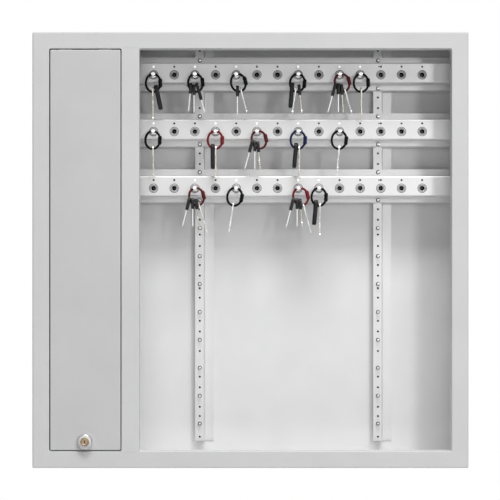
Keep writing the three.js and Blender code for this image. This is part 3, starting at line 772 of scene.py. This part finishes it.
# What hangs on each peg: the ring's colour, how far it is turned in degrees, then each key as
# [kind, sideways place of its top, how far its top is below the peg, lean in degrees].
BUNCHES = [
    ("black", 0, [("long", 0, 22, 0), ("fob", 4.4, 19, 12)]),
    ("black", 5, [("cap", -6, 15.5, -5), ("cap", -0.9, 18, 0), ("longcap", 3.2, 15.5, 16)]),
    ("black", 14, [("cap", 2.2, 20, 0), ("short", 7, 23, 15)]),
    ("black", -7, [("fob", -10.5, 15, -4.5), ("short", -4, 23, -8.5), ("cap", 0.6, 18, 6)]),
    ("dark_red", 14, [("midcap", -7.4, 16, -15), ("cap", -2.8, 16.5, 0), ("cap", 2.3, 17.5, 4),
                      ("short", 6.9, 24, 17)]),
    ("black", 2, [("long", 0.5, 23.5, 1)]),
    ("black", -3, [("long", 0.5, 25.5, 0)]),
    ("red", -2, [("fob", -4.6, 22, 0), ("long", 0.8, 25, 0)]),
    ("dark_red", 13, [("midcap", -7.2, 15, -15), ("cap", -3.6, 16.5, 0), ("cap", 1.4, 18, 5)]),
    ("blue", -3, [("fob", -3.7, 20.5, -5), ("long", 1.2, 25, 0)]),
    ("black", -6, [("mid", -1.4, 25, -4.5)]),
    ("dark_red", 12, [("midcap", -8.2, 16, -14), ("cap", -3.2, 17.4, 0), ("cap", 2.3, 18.3, 6),
                      ("mid", 7.6, 27, 16)]),
    ("black", -10, [("mid", -4.2, 24, -9)]),
    ("red", 14, [("midcap", -8.2, 16.5, -14), ("cap", -2.3, 17.6, 0), ("cap", 2.3, 18.5, 5),
                 ("mid", 7.8, 27, 15.5)]),
    ("black", -2, [("fob", -5.1, 20.4, -5), ("long", 0.9, 25.5, 0)]),
]
# Length and width of each kind's bow, and length and width of its blade.
KEY = {
    "long": {"bow": (23, 21), "blade": (34, 8)},
    "mid": {"bow": (21, 21), "blade": (32, 8)},
    "short": {"bow": (17, 18), "blade": (28, 7)},
    "cap": {"bow": (18.5, 20), "blade": (31, 8)},
    "midcap": {"bow": (22.5, 20), "blade": (30, 8)},
    "longcap": {"bow": (30, 20), "blade": (24, 8)},
    "fob": {"bow": (43, 21)},
}
KEY_THICK = 2.2
CAP_THICK = 5.2
FOB_THICK = 7
HOLE_RADIUS = 2.9
BLADE_OVERLAP = 1
KEY_EDGE = 0.18


def peg(number):
    """A turned peg: a disc, a flat tongue with a cross eye, a collar and the plug that fits a socket."""
    node = f"key_peg_{number}"
    low, high = box_mm(node)
    middle = (low + high) / 2
    tip, face = low.y, low.y + PEG_REACH
    profile = [(0, tip + 0.1), (2.9, tip), (3.4, tip + 0.15), (3.65, tip + 0.5), (3.7, tip + 1),
               (3.7, tip + 1.5), (4.2, tip + 2), (4.2, tip + 9), (3.6, tip + 10.4), (3.6, face - 2.1),
               (5.0, face - 1.9), (5.2, face - 1.6), (5.2, face - 0.5), (4.0, face - 0.1), (4.0, face + 7),
               (3.5, face + 8), (3.5, face + 10), (4.0, face + 11), (4.0, high.y - 1.2), (3.0, high.y),
               (0, high.y)]
    span = (middle.x - 8, middle.x + 8)
    eye = Solid().drum(EYE_RADIUS, span, (tip + EYE_FROM_TIP, middle.z), axis="x", count=28)
    flats = Solid()
    for side in (-1, 1):
        x = sorted((middle.x + side * HALF_TONGUE, middle.x + side * 8))
        flats.box(x, (tip + 1.5, tip + 9.5), (middle.z - 8, middle.z + 8))
    solid = Solid().turn(profile, (middle.x, middle.z))
    piece(solid, f"peg_{number}_turned", "peg_nickel", [flats, eye], soft=0.2, body=f"peg_{number}",
          replaces=[node])


def ring_place(share):
    """A point of the ring's ellipse, measured from the peg's eye at its top."""
    angle = 2 * math.pi * share
    return RING_HALF_WIDTH * math.cos(angle), RING_HALF_HEIGHT * (math.sin(angle) - 1)


def hole_below(turn, across, below, lean):
    """How far under its top a key crosses the ring that it hangs on."""
    back = Matrix.Rotation(math.radians(turn), 4, "Y")
    direction = Vector((math.sin(math.radians(lean)), 0, -math.cos(math.radians(lean))))
    for step in range(20, 400):
        reach = step / 10
        place = back @ (Vector((across, 0, -below)) + direction * reach)
        if (place.x / RING_HALF_WIDTH) ** 2 + (place.z / RING_HALF_HEIGHT + 1) ** 2 > 1:
            return reach
    return 4.0


def cut_edge(half, top, tip, rng):
    """The notched front edge of a blade, from the tip up, as [y, z]."""
    points = [(-half + 2.4, tip), (-half + 0.4, tip + 2.6)]
    z = tip + 5
    while z < top - 5:
        depth = 0.8 + 0.55 * rng.randrange(4)
        points += [(-half + depth, z - 0.8), (-half + depth, z + 0.8), (-half + 0.3, z + 2.1)]
        z += 4.1
    return points + [(-half, z)]


def blade_outline(kind, rng, notched):
    """The blade of a key, with the place of its bow's top as the origin, as [y, z]."""
    length, width = KEY[kind]["blade"]
    half = width / 2
    top = BLADE_OVERLAP - KEY[kind]["bow"][0]
    tip = top - length
    front = cut_edge(half, top, tip, rng) if notched else [(-half + 2, tip), (-half, tip + 2.5)]
    return [(half, top), (half, tip + 4), (half - 2.6, tip)] + front + [(-half, top)]


def grooves(kind):
    """The long milled grooves in both sides of a blade."""
    length, _ = KEY[kind]["blade"]
    top = -KEY[kind]["bow"][0]
    cutters = Solid()
    for y, deep in zip((-0.1, 1.3), sunk_spans(KEY_THICK, 0.5)):
        cutters.prism(rectangle((y - 0.6, y + 0.6), (top - length - 1, top - 1)), "x", deep)
    return cutters


def ring_hole(below, reach=5):
    """The cutter for the hole that a ring goes through, so far below the top of its key."""
    return Solid().drum(HOLE_RADIUS, (-reach, reach), (0, -below), axis="x", count=28)


def metal_key(kind, hole, rng):
    """A flat metal key: a waisted bow with a hole and sunk faces, and a notched blade."""
    length, width = KEY[kind]["bow"]
    half = width / 2
    bow = [(4.6, -length), (half, -length + 6), (half, -3.5), (half - 3, 0), (-half + 3, 0), (-half, -3.5),
           (-half, -length + 6), (-4.6, -length)]
    radii = [0.8, 4, 3, 3, 3, 3, 4, 0.8]
    blade = blade_outline(kind, rng, notched=True)
    made = object_of(Solid().prism(rounded(bow, radii), "x", (-KEY_THICK / 2, KEY_THICK / 2)), "key")
    carve(made, Solid().prism(blade, "x", (-KEY_THICK / 2 + 0.1, KEY_THICK / 2 - 0.1)), "UNION")
    carve(made, ring_hole(hole, 3))
    cutters = grooves(kind)
    for deep in sunk_spans(KEY_THICK, 0.25):
        cutters.drum(3.4, deep, (0, -length + 5.2), axis="x", count=32)
    carve(made, cutters)
    soften(made, KEY_EDGE, 1)
    return made


def cap(kind, hole):
    """The moulded cap over a key's bow, with soft edges and a hole."""
    length, width = KEY[kind]["bow"]
    layers = soft_ends(-CAP_THICK / 2, CAP_THICK / 2, 1.3)
    made = object_of(Solid().stack("x", layers, (-width / 2, width / 2), (-length, 0), 5), "cap")
    carve(made, ring_hole(hole))
    return made


def cap_blade(kind, rng, notched):
    """The blade that comes out of a cap."""
    solid = Solid().prism(blade_outline(kind, rng, notched), "x", (-KEY_THICK / 2, KEY_THICK / 2))
    made = object_of(solid, "blade")
    carve(made, grooves(kind))
    soften(made, KEY_EDGE, 1)
    return made


def fob(hole):
    """A two-shell fob with a seam round its middle, a sunk panel and a ring hole."""
    length, width = KEY["fob"]["bow"]
    seam = [(-0.25, 0), (-0.2, 0.35), (0.2, 0.35), (0.25, 0)]
    layers = soft_ends(-FOB_THICK / 2, FOB_THICK / 2, 2.2, middle=seam)
    made = object_of(Solid().stack("x", layers, (-width / 2, width / 2), (-length, 0), 7), "fob")
    cutters = ring_hole(hole)
    for deep in sunk_spans(FOB_THICK, 0.4):
        cutters.drum(5, deep, (0, -length + 14), axis="x", count=32)
    carve(made, cutters)
    return made


def hang(made, name, look, place, number):
    """Moves a key to its place on its ring and finishes it."""
    made.data.transform(place)
    made.name = name
    finish(made, look, body=f"bunch_{number}", replaces=[f"key_bunch_{number}"])


def ring(number, look, turn, eye):
    """A plastic-coated wire ring with its screw sleeve."""
    node, body = f"key_bunch_{number}", f"bunch_{number}"
    placed = Matrix.Translation(eye) @ Matrix.Rotation(-math.radians(turn), 4, "Y")
    points = [ring_place(k / 72) for k in range(72)]
    wire = Solid().hoop([(x, 0, z) for x, z in points], WIRE_RADIUS).moved(placed)
    piece(wire, f"ring_{number}", look, body=body, replaces=[node])
    radius, half = SLEEVE_RADIUS, SLEEVE_LENGTH / 2
    profile = [(0, -half), (2.3, -half), (3.0, -half + 1.6), (radius, -half + 3), (radius, -half + 4.4),
               (radius - 0.25, -half + 4.7), (radius - 0.25, half - 4.7), (radius, half - 4.4),
               (radius, half - 3), (3.0, half - 1.6), (2.3, half), (0, half)]
    sleeve = Solid().turn(raised(profile, -RING_HALF_HEIGHT), (RING_HALF_WIDTH - 0.4, 0), "z", 24)
    piece(sleeve.moved(placed), f"ring_{number}_sleeve", look, body=body, replaces=[node])


def bunch(number, color, turn, keys):
    """A ring with everything that hangs on it."""
    rng = random.Random(int(number))
    low, high = box_mm(f"key_peg_{number}")
    eye = Vector(((low.x + high.x) / 2, low.y + EYE_FROM_TIP, (low.z + high.z) / 2))
    ring(number, f"ring_{color}", turn, eye)
    for k, (kind, across, below, lean) in enumerate(keys, 1):
        name = f"bunch_{number}_key_{k}"
        hole = hole_below(turn, across, below, lean)
        leaning = Matrix.Rotation(-math.radians(lean), 4, "Y")
        place = Matrix.Translation(eye + Vector((across, 0, -below))) @ leaning
        if kind == "fob":
            hang(fob(hole), name.replace("key", "fob"), "fob", place, number)
        elif "cap" in kind:
            third = k == 3 and kind == "cap"
            hang(cap(kind, hole), name + "_cap", "cap", place, number)
            blade = cap_blade(kind, rng, third)
            hang(blade, name + "_blade", "key_brass" if third else "steel", place, number)
        else:
            look = "key_brass" if kind == "long" else "steel"
            hang(metal_key(kind, hole, rng), name, look, place, number)


# ---------- Cover and lock ----------

COVER_DEPTH = 10
COVER_BEND = 1.8
BARREL_HOLE = 9.3
CAM_SCREW_HOLE = 2.2


def cover():
    """The lift-off cover: a shallow pan with rounded bends and two hooks along its top."""
    low, high = COVER_LOW, COVER_HIGH
    xs = (low.x, high.x)
    zs = (low.z, -low.z)
    back = low.y + COVER_DEPTH
    layers = one_soft_end(back, low.y, COVER_BEND, 1)
    made = object_of(Solid().stack("y", layers, xs, zs, COVER_BEND), "cover_pan")
    hollow = one_soft_end(back + 1, low.y + SHEET, 0.5, 1, SHEET)
    carve(made, Solid().stack("y", hollow, xs, zs, 1.9))
    for x in HOOK_XS:
        outline = rounded([(x - 10, zs[1] - SHEET), (x + 10, zs[1] - SHEET), (x + 10, high.z),
                           (x - 10, high.z)], [0, 0, 3, 3])
        carve(made, Solid().prism(outline, "y", (FRONT + 4, FRONT + 4 + SHEET)), "UNION")
    lock = middle_mm("lock_body")
    carve(made, Solid().drum(BARREL_HOLE, (low.y - 1, low.y + 5), (lock.x, lock.z), count=40))
    finish(made, "cover_paint", body="cover", replaces=["compartment_cover"])


def lock():
    """The cam lock: rosette and threaded barrel, brass plug, nut, cam and screw."""
    low, high = box_mm("lock_body")
    middle = (low + high) / 2
    centre = (middle.x, middle.z)
    tip, rose = low.y, COVER_LOW.y - GAP
    profile = [(6.7, tip + 0.5), (7.1, tip), (11.2, tip + 0.2), (12.0, tip + 0.8), (12.5, tip + 2),
               (12.8, tip + 4), (12.9, tip + 6.2), (13, rose - 0.5), (12.8, rose), (9, rose)]
    y = rose + 2
    while y < high.y - 1.2:
        profile += [(9, y), (8.55, y + 0.5)]
        y += 1.0
    profile += [(8.6, high.y), (6.7, high.y)]
    solid = Solid().turn(profile, centre, count=64, closed=True)
    piece(solid, "lock_housing", "nickel", body="cover", replaces=["lock_body"])
    lock_plug(centre)
    nut_low, nut_high = box_mm("lock_nut")
    nut = Solid().prism(circle(13, centre, 6), "y", (nut_low.y, nut_high.y))
    bore = Solid().drum(BARREL_HOLE, (nut_low.y - 1, nut_high.y + 1), centre, count=40)
    piece(nut, "lock_hex_nut", "zinc", [bore], soft=0.4, body="cover", replaces=["lock_nut"])
    lock_cam(centre)


def lock_plug(centre):
    """The plug: a recessed ring, and a keyway with a round top."""
    low, high = box_mm("lock_plug")
    profile = [(0, low.y + 0.3), (4.4, low.y + 0.3), (4.7, low.y), (5.9, low.y), (6.3, low.y + 0.4),
               (6.3, high.y), (0, high.y)]
    x, z = centre
    keyway = Solid().box((x - 0.75, x + 0.75), (low.y - 1, low.y + 9), (z - 4.2, z + 1.5))
    head = Solid().drum(1.6, (low.y - 1, low.y + 9), (x, z + 1.4), count=24)
    screw = Solid().drum(CAM_SCREW_HOLE, (high.y - 9, high.y + 1), centre, count=20)
    solid = Solid().turn(profile, centre, count=48)
    piece(solid, "lock_plug_core", "brass", [keyway, head, screw], soft=0.12, segments=1,
          body="plug", replaces=["lock_plug"])


def lock_cam(centre):
    """The cam, pressed from plate, and the screw that holds it."""
    low, high = box_mm("lock_cam")
    x, z = centre
    arm = rounded([(x, z - 7), (high.x, z - 7), (high.x, z + 7), (x, z + 7)], [0, 3, 3, 0])
    made = object_of(Solid().prism(arm, "y", (low.y, high.y)), "lock_cam_plate")
    carve(made, Solid().drum(7, (low.y, high.y), centre, count=48), "UNION")
    carve(made, Solid().drum(CAM_SCREW_HOLE, (low.y - 1, high.y + 1), centre, count=20))
    soften(made, 0.3)
    finish(made, "zinc", body="plug", replaces=["lock_cam"])
    low, high = box_mm("cam_screw")
    seat = high.y - 2.4
    head = [(0, low.y), (1.7, low.y), (1.7, seat), (3.7, seat), (4, seat + 0.3), (4, seat + 1.2),
            (3.2, high.y - 0.2), (2.2, high.y), (0, high.y)]
    cross = Solid().box((x - 2, x + 2), (high.y - 1.2, high.y + 1), (z - 0.4, z + 0.4))
    across = Solid().box((x - 0.4, x + 0.4), (high.y - 1.2, high.y + 1), (z - 2, z + 2))
    piece(Solid().turn(head, centre, count=32), "cam_pan_screw", "zinc", [cross, across],
          body="plug", replaces=["cam_screw"])


# ---------- Electronics in the service compartment ----------

STRAP = 1.2
WIRE_PITCH = 1.2


def screw_head(solid, centre, y, radius=3.2):
    """A pan head that stands forward of y."""
    profile = [(0, y - 1.9), (radius * 0.6, y - 1.8), (radius * 0.9, y - 1.2), (radius, y - 0.5),
               (radius, y), (0, y)]
    return solid.turn(profile, centre, count=24)


def electronics_plate():
    """The mounting plate with rounded corners and slots, its spacers and its screws."""
    low, high = box_mm("electronics_plate")
    corners = [(x, z) for x in (low.x + 8, high.x - 8) for z in (low.z + 8, high.z - 8)]
    plate = Solid().box((low.x, high.x), (low.y, low.y + SHEET), (low.z, high.z), 6)
    slots = Solid()
    for x in (low.x + 5, high.x - 5):
        for z in range(int(low.z) + 40, int(high.z) - 30, 40):
            slots.box((x - 2, x + 2), (low.y - 1, low.y + 3), (z - 7, z + 7), 1.9)
    piece(plate, "electronics_mounting_plate", "zinc", [slots], soft=0.2, segments=1,
          replaces=["electronics_plate"])
    spacers, screws = Solid(), Solid()
    for corner in corners:
        spacers.prism(circle(4.4, corner, 6), "y", (low.y + SHEET, -SHEET - 0.1))
        screw_head(screws, corner, low.y)
    piece(spacers, "electronics_plate_spacers", "brass")
    piece(screws, "electronics_plate_screws", "zinc")


BOARD_LOOKS = {
    "chips": "black_plastic",
    "relays": "black_plastic",
    "capacitors": "aluminium",
    "connectors": "white_plastic",
    "terminals": "green_plastic",
    "spacers": "brass",
    "screws": "zinc",
}


def control_board():
    """The control board with its parts, which are placed by the cabinet's own X and Z."""
    low, high = box_mm("control_board")
    front = low.y + 16
    board = Solid().box((low.x, high.x), (front, front + 1.6), (low.z, high.z), 3)
    piece(board, "control_board_laminate", "circuit_board", soft=0.15, segments=1,
          replaces=["control_board"])
    parts = {part: Solid() for part in BOARD_LOOKS}

    def on_board(part, x, height, z, radius=0.6):
        parts[part].stack("y", one_soft_end(front, front - height, 0.4, 1, steps=2), x, z, radius)

    on_board("chips", (-300, -276), 2, (210, 234))
    for x in (-268, -258):
        for z in (215, 228):
            on_board("chips", (x, x + 5.5), 1.6, (z, z + 8))
    for x in (-340, -318):
        on_board("relays", (x, x + 18), 13, (140, 170), 1)
    on_board("connectors", (-252, -240), 16, (284, 308))
    on_board("connectors", (-340, -290), 9, (294, 306))
    for k in range(6):
        x = -290 + 8 * k
        on_board("terminals", (x, x + 7.4), 9, (136, 146))
        screw_head(parts["screws"], (x + 3.7, 141), front - 9, 2.4)
    for k, x in enumerate((-335, -321, -307)):
        parts["capacitors"].drum(4.5, (front - 11 - k, front), (x, 255), edge=0.5, count=28)
    for x in (-339, -242):
        for z in (136, 304):
            parts["spacers"].prism(circle(3, (x, z), 6), "y", (front + 1.6, high.y))
    for part, look in BOARD_LOOKS.items():
        piece(parts[part], f"control_board_{part}", look)


def power_supply():
    """The power supply: a vented case on a base with a ledge, and its terminal block."""
    low, high = box_mm("power_supply")
    ledge = low.z + 14
    layers = one_soft_end(high.y, low.y, 1.2, 1)
    box = Solid().stack("y", layers, (low.x, high.x), (ledge, high.z), 1.2)
    inside = Solid().box((low.x + 1, high.x - 1), (low.y + 1, high.y - 1), (ledge + 1, high.z - 1))
    vents = Solid()
    for column in range(9):
        for row in range(5):
            x, z = low.x + 13 + 9 * column, ledge + 17 + 23 * row
            vents.box((x - 1.6, x + 1.6), (low.y - 1, low.y + 2), (z - 8, z + 8), 1.5)
    piece(box, "power_supply_case", "aluminium", [inside, vents], replaces=["power_supply"])
    base = Solid().box((low.x, high.x), (high.y - 12, high.y), (low.z, ledge), 0.8)
    piece(base, "power_supply_ledge", "aluminium", soft=0.3)
    low, high = box_mm("terminal_block")
    body = Solid().box((low.x, high.x), (low.y, high.y), (low.z, high.z), 0.6)
    wells, screws = Solid(), Solid()
    for k in range(5):
        x, z = -326 + 17.5 * k, (low.z + high.z) / 2
        wells.box((x - 4.5, x + 4.5), (low.y - 1, low.y + 6), (low.z + 2, high.z - 2), 1)
        screws.turn([(0, low.y + 3.4), (2.8, low.y + 3.6), (3.2, low.y + 4.2), (3.2, low.y + 6.5),
                     (0, low.y + 6.5)], (x, z), count=20)
    piece(body, "terminal_block_body", "black_plastic", [wells], soft=0.2, segments=1,
          replaces=["terminal_block"])
    piece(screws, "terminal_block_screws", "zinc")


def battery():
    """The sealed backup battery, with its lid seam, vent caps and terminals."""
    low, high = box_mm("backup_battery")
    top = high.z - 7
    seam = [(top - 12.6, 0), (top - 12.4, 0.5), (top - 11.6, 0.5), (top - 11.4, 0)]
    layers = soft_ends(low.z, top, 1.5, middle=seam)
    case = Solid().stack("z", layers, (low.x, high.x), (low.y, high.y), 2)
    piece(case, "backup_battery_case", "black_plastic", replaces=["backup_battery"])
    caps = Solid()
    for k in range(6):
        caps.drum(4.4, (top - 0.1, top + 1.2), (low.x + 17 + 12 * k, high.y - 22), axis="z", edge=0.4)
    piece(caps, "backup_battery_vent_caps", "black_plastic")
    tabs = Solid()
    for x in (low.x + 12, high.x - 12):
        outline = rounded([(x - 3, top - 1), (x + 3, top - 1), (x + 3, high.z), (x - 3, high.z)],
                          [0, 0, 1, 1])
        tabs.prism(outline, "y", (low.y + 10, low.y + 11))
    piece(tabs, "backup_battery_terminals", "brass")


def battery_holders():
    """The strap round the battery, and the folded shelf under it."""
    battery_low, battery_high = box_mm("backup_battery")
    low, high = box_mm("battery_strap")
    x0, x1 = battery_low.x - STRAP * 0.75, battery_high.x + STRAP * 0.75
    back, front = high.y - STRAP / 2, low.y + STRAP / 2
    path = [(low.x, back), (x0, back), (x0, front), (x1, front), (x1, back), (high.x, back)]
    strap = Solid().prism(folded(path, STRAP, INNER_BEND), "z", (low.z, high.z))
    piece(strap, "battery_strap_band", "zinc", replaces=["battery_strap"])
    low, high = box_mm("battery_shelf")
    y, z = low.y + SHEET / 2, low.z + SHEET / 2
    path = [(y, high.z), (y, z), (high.y, z)]
    shelf = Solid().prism(folded(path, SHEET, INNER_BEND), "x", (low.x, high.x))
    piece(shelf, "battery_shelf_folded", "zinc", replaces=["battery_shelf"])


def smooth_path(points):
    """A smooth curve through a row of points in a plane."""
    rows = [Vector(p) for p in points]
    rows = [2 * rows[0] - rows[1]] + rows + [2 * rows[-1] - rows[-2]]
    curve = []
    for p0, p1, p2, p3 in zip(rows, rows[1:], rows[2:], rows[3:]):
        for k in range(CURVE_STEPS):
            t = k / CURVE_STEPS
            curve.append(0.5 * (2 * p1 + (p2 - p0) * t + (2 * p0 - 5 * p1 + 4 * p2 - p3) * t ** 2
                                + (3 * p1 - p0 - 3 * p2 + p3) * t ** 3))
    return curve + [rows[-2]]


def ribbon(node, path, axis, span):
    """A flat cable: one bead for each wire, drawn along a curve."""
    place = AXES[axis]
    wires = round((span[1] - span[0]) / WIRE_PITCH)
    pitch = (span[1] - span[0]) / wires
    section = [(span[0] + pitch * k / 2, 0.42 if k % 2 else 0.22) for k in range(2 * wires + 1)]
    curve = smooth_path(path)
    loops = []
    for i, point in enumerate(curve):
        along = (curve[min(i + 1, len(curve) - 1)] - curve[max(i - 1, 0)]).normalized()
        across = Vector((-along.y, along.x))
        upper = [(point + across * h, w) for w, h in section]
        lower = [(point - across * h, w) for w, h in section[::-1]]
        loops.append([place(p.x, p.y, w) for p, w in upper + lower])
    piece(Solid().loft(loops), f"{node}_cable", "ribbon_cable", replaces=[node])


def ribbons():
    """The flat cables to the first strip and on to the others, with the plugs on their ends."""
    low, high = box_mm("main_ribbon")
    path = [(-239, -34.5), (-228, -38), (-218, -38), (-206, -38), (-204, -37.2), (-199, -35)]
    ribbon("main_ribbon", path, "z", (low.z, high.z))
    plugs = Solid()
    plugs.box((-203, -197), (-40.5, -34.3), (low.z - 0.5, high.z + 1), 0.5)
    board, behind = -31.7, -8
    for strip in (1, 2):
        node = f"link_ribbon_{strip}"
        low, high = box_mm(node)
        start, end = STRIP_Z[strip] - 6, STRIP_Z[strip + 1] + 6
        path = [(board, start + 1), (board + 5, start), (behind - 2, start - 3), (behind, start - 8),
                (behind, end + 8), (behind - 2, end + 3), (board + 5, end), (board, end - 1)]
        ribbon(node, path, "x", (low.x, high.x))
        for z in (start + 1, end - 1):
            plugs.box((low.x - 0.5, high.x + 0.5), (-32.2, -28.5), (z - 3, z + 3), 0.5)
    piece(plugs, "ribbon_plugs", "black_plastic", soft=0.2, segments=1)


# ---------- Camera, lights and floor ----------

LENS = 111.9
CAMERA_X = -0.7
CAMERA_BACK = 2600
FLOOR_Z = -1250
FLOOR_RADIUS = 3200
LIGHT_GIVEN = 0.05


def camera():
    """A camera straight in front of the cabinet."""
    data = bpy.data.cameras.new("camera")
    data.lens = LENS
    data.sensor_width = 36
    made = bpy.data.objects.new("camera", data)
    bpy.context.scene.collection.objects.link(made)
    made.location = Vector((CAMERA_X, FRONT - CAMERA_BACK, 0)) * MM
    made.rotation_euler = (math.pi / 2, 0, 0)
    bpy.context.scene.camera = made


def softbox(name, place, size, power):
    """A rectangular light that faces the cabinet, in metres and watts."""
    data = bpy.data.lights.new(name, "AREA")
    data.shape = "RECTANGLE"
    data.size, data.size_y = size
    data.energy = power
    made = bpy.data.objects.new(name, data)
    bpy.context.scene.collection.objects.link(made)
    made.location = place
    made.rotation_euler = (-Vector(place)).to_track_quat("-Z", "Y").to_euler()


def surroundings():
    """White all round, as in a light tent: brighter to look at than the light that it gives."""
    world = bpy.data.worlds.new("tent")
    bpy.context.scene.world = world
    world.use_nodes = True
    tree = world.node_tree
    seen = tree.nodes.new("ShaderNodeBackground")
    seen.inputs["Color"].default_value = (1, 1, 1, 1)
    given = tree.nodes["Background"]
    given.inputs["Color"].default_value = (1, 1, 1, 1)
    given.inputs["Strength"].default_value = LIGHT_GIVEN
    rays = tree.nodes.new("ShaderNodeLightPath")
    choose = tree.nodes.new("ShaderNodeMixShader")
    tree.links.new(rays.outputs["Is Camera Ray"], choose.inputs[0])
    tree.links.new(given.outputs[0], choose.inputs[1])
    tree.links.new(seen.outputs[0], choose.inputs[2])
    tree.links.new(choose.outputs[0], tree.nodes["World Output"].inputs["Surface"])


def floor():
    """A plain pale floor, well below the cabinet."""
    disc = circle(FLOOR_RADIUS, count=64)
    made = object_of(Solid().prism(disc, "z", (FLOOR_Z - 10, FLOOR_Z)), "floor")
    made.data.transform(Matrix.Scale(MM, 4))
    made.data.materials.append(powder_coat("floor_paint", (0.9, 0.9, 0.9), 0.05))


# ---------- Assembly ----------

camera()
surroundings()
floor()
softbox("ceiling_light", (0.2, -2.4, 4.8), (2.8, 1.2), 218)
softbox("key_light", (2.2, -3.8, 4.0), (2.3, 2.3), 86)
softbox("front_light", (-0.1, -2.9, 0.1), (1.8, 1.8), 11)
softbox("small_light", (1.35, -2.6, 0.4), (0.35, 0.35), 11)
softbox("back_light", (-1.8, 3.0, 1.4), (2.0, 2.0), 50)
bpy.context.scene.view_settings.view_transform = "Standard"

case_tray()
front_frame()
partition()
grommet()
for side in ("left", "right"):
    rail(side)
for strip in STRIPS:
    strip_slots = slots_of(strip)
    strip_housing(strip, strip_slots)
    strip_insides(strip, strip_slots)
for number, (color, turn, keys) in zip(PEGS, BUNCHES):
    peg(number)
    bunch(number, color, turn, keys)
cover()
lock()
electronics_plate()
control_board()
power_supply()
battery()
battery_holders()
ribbons()
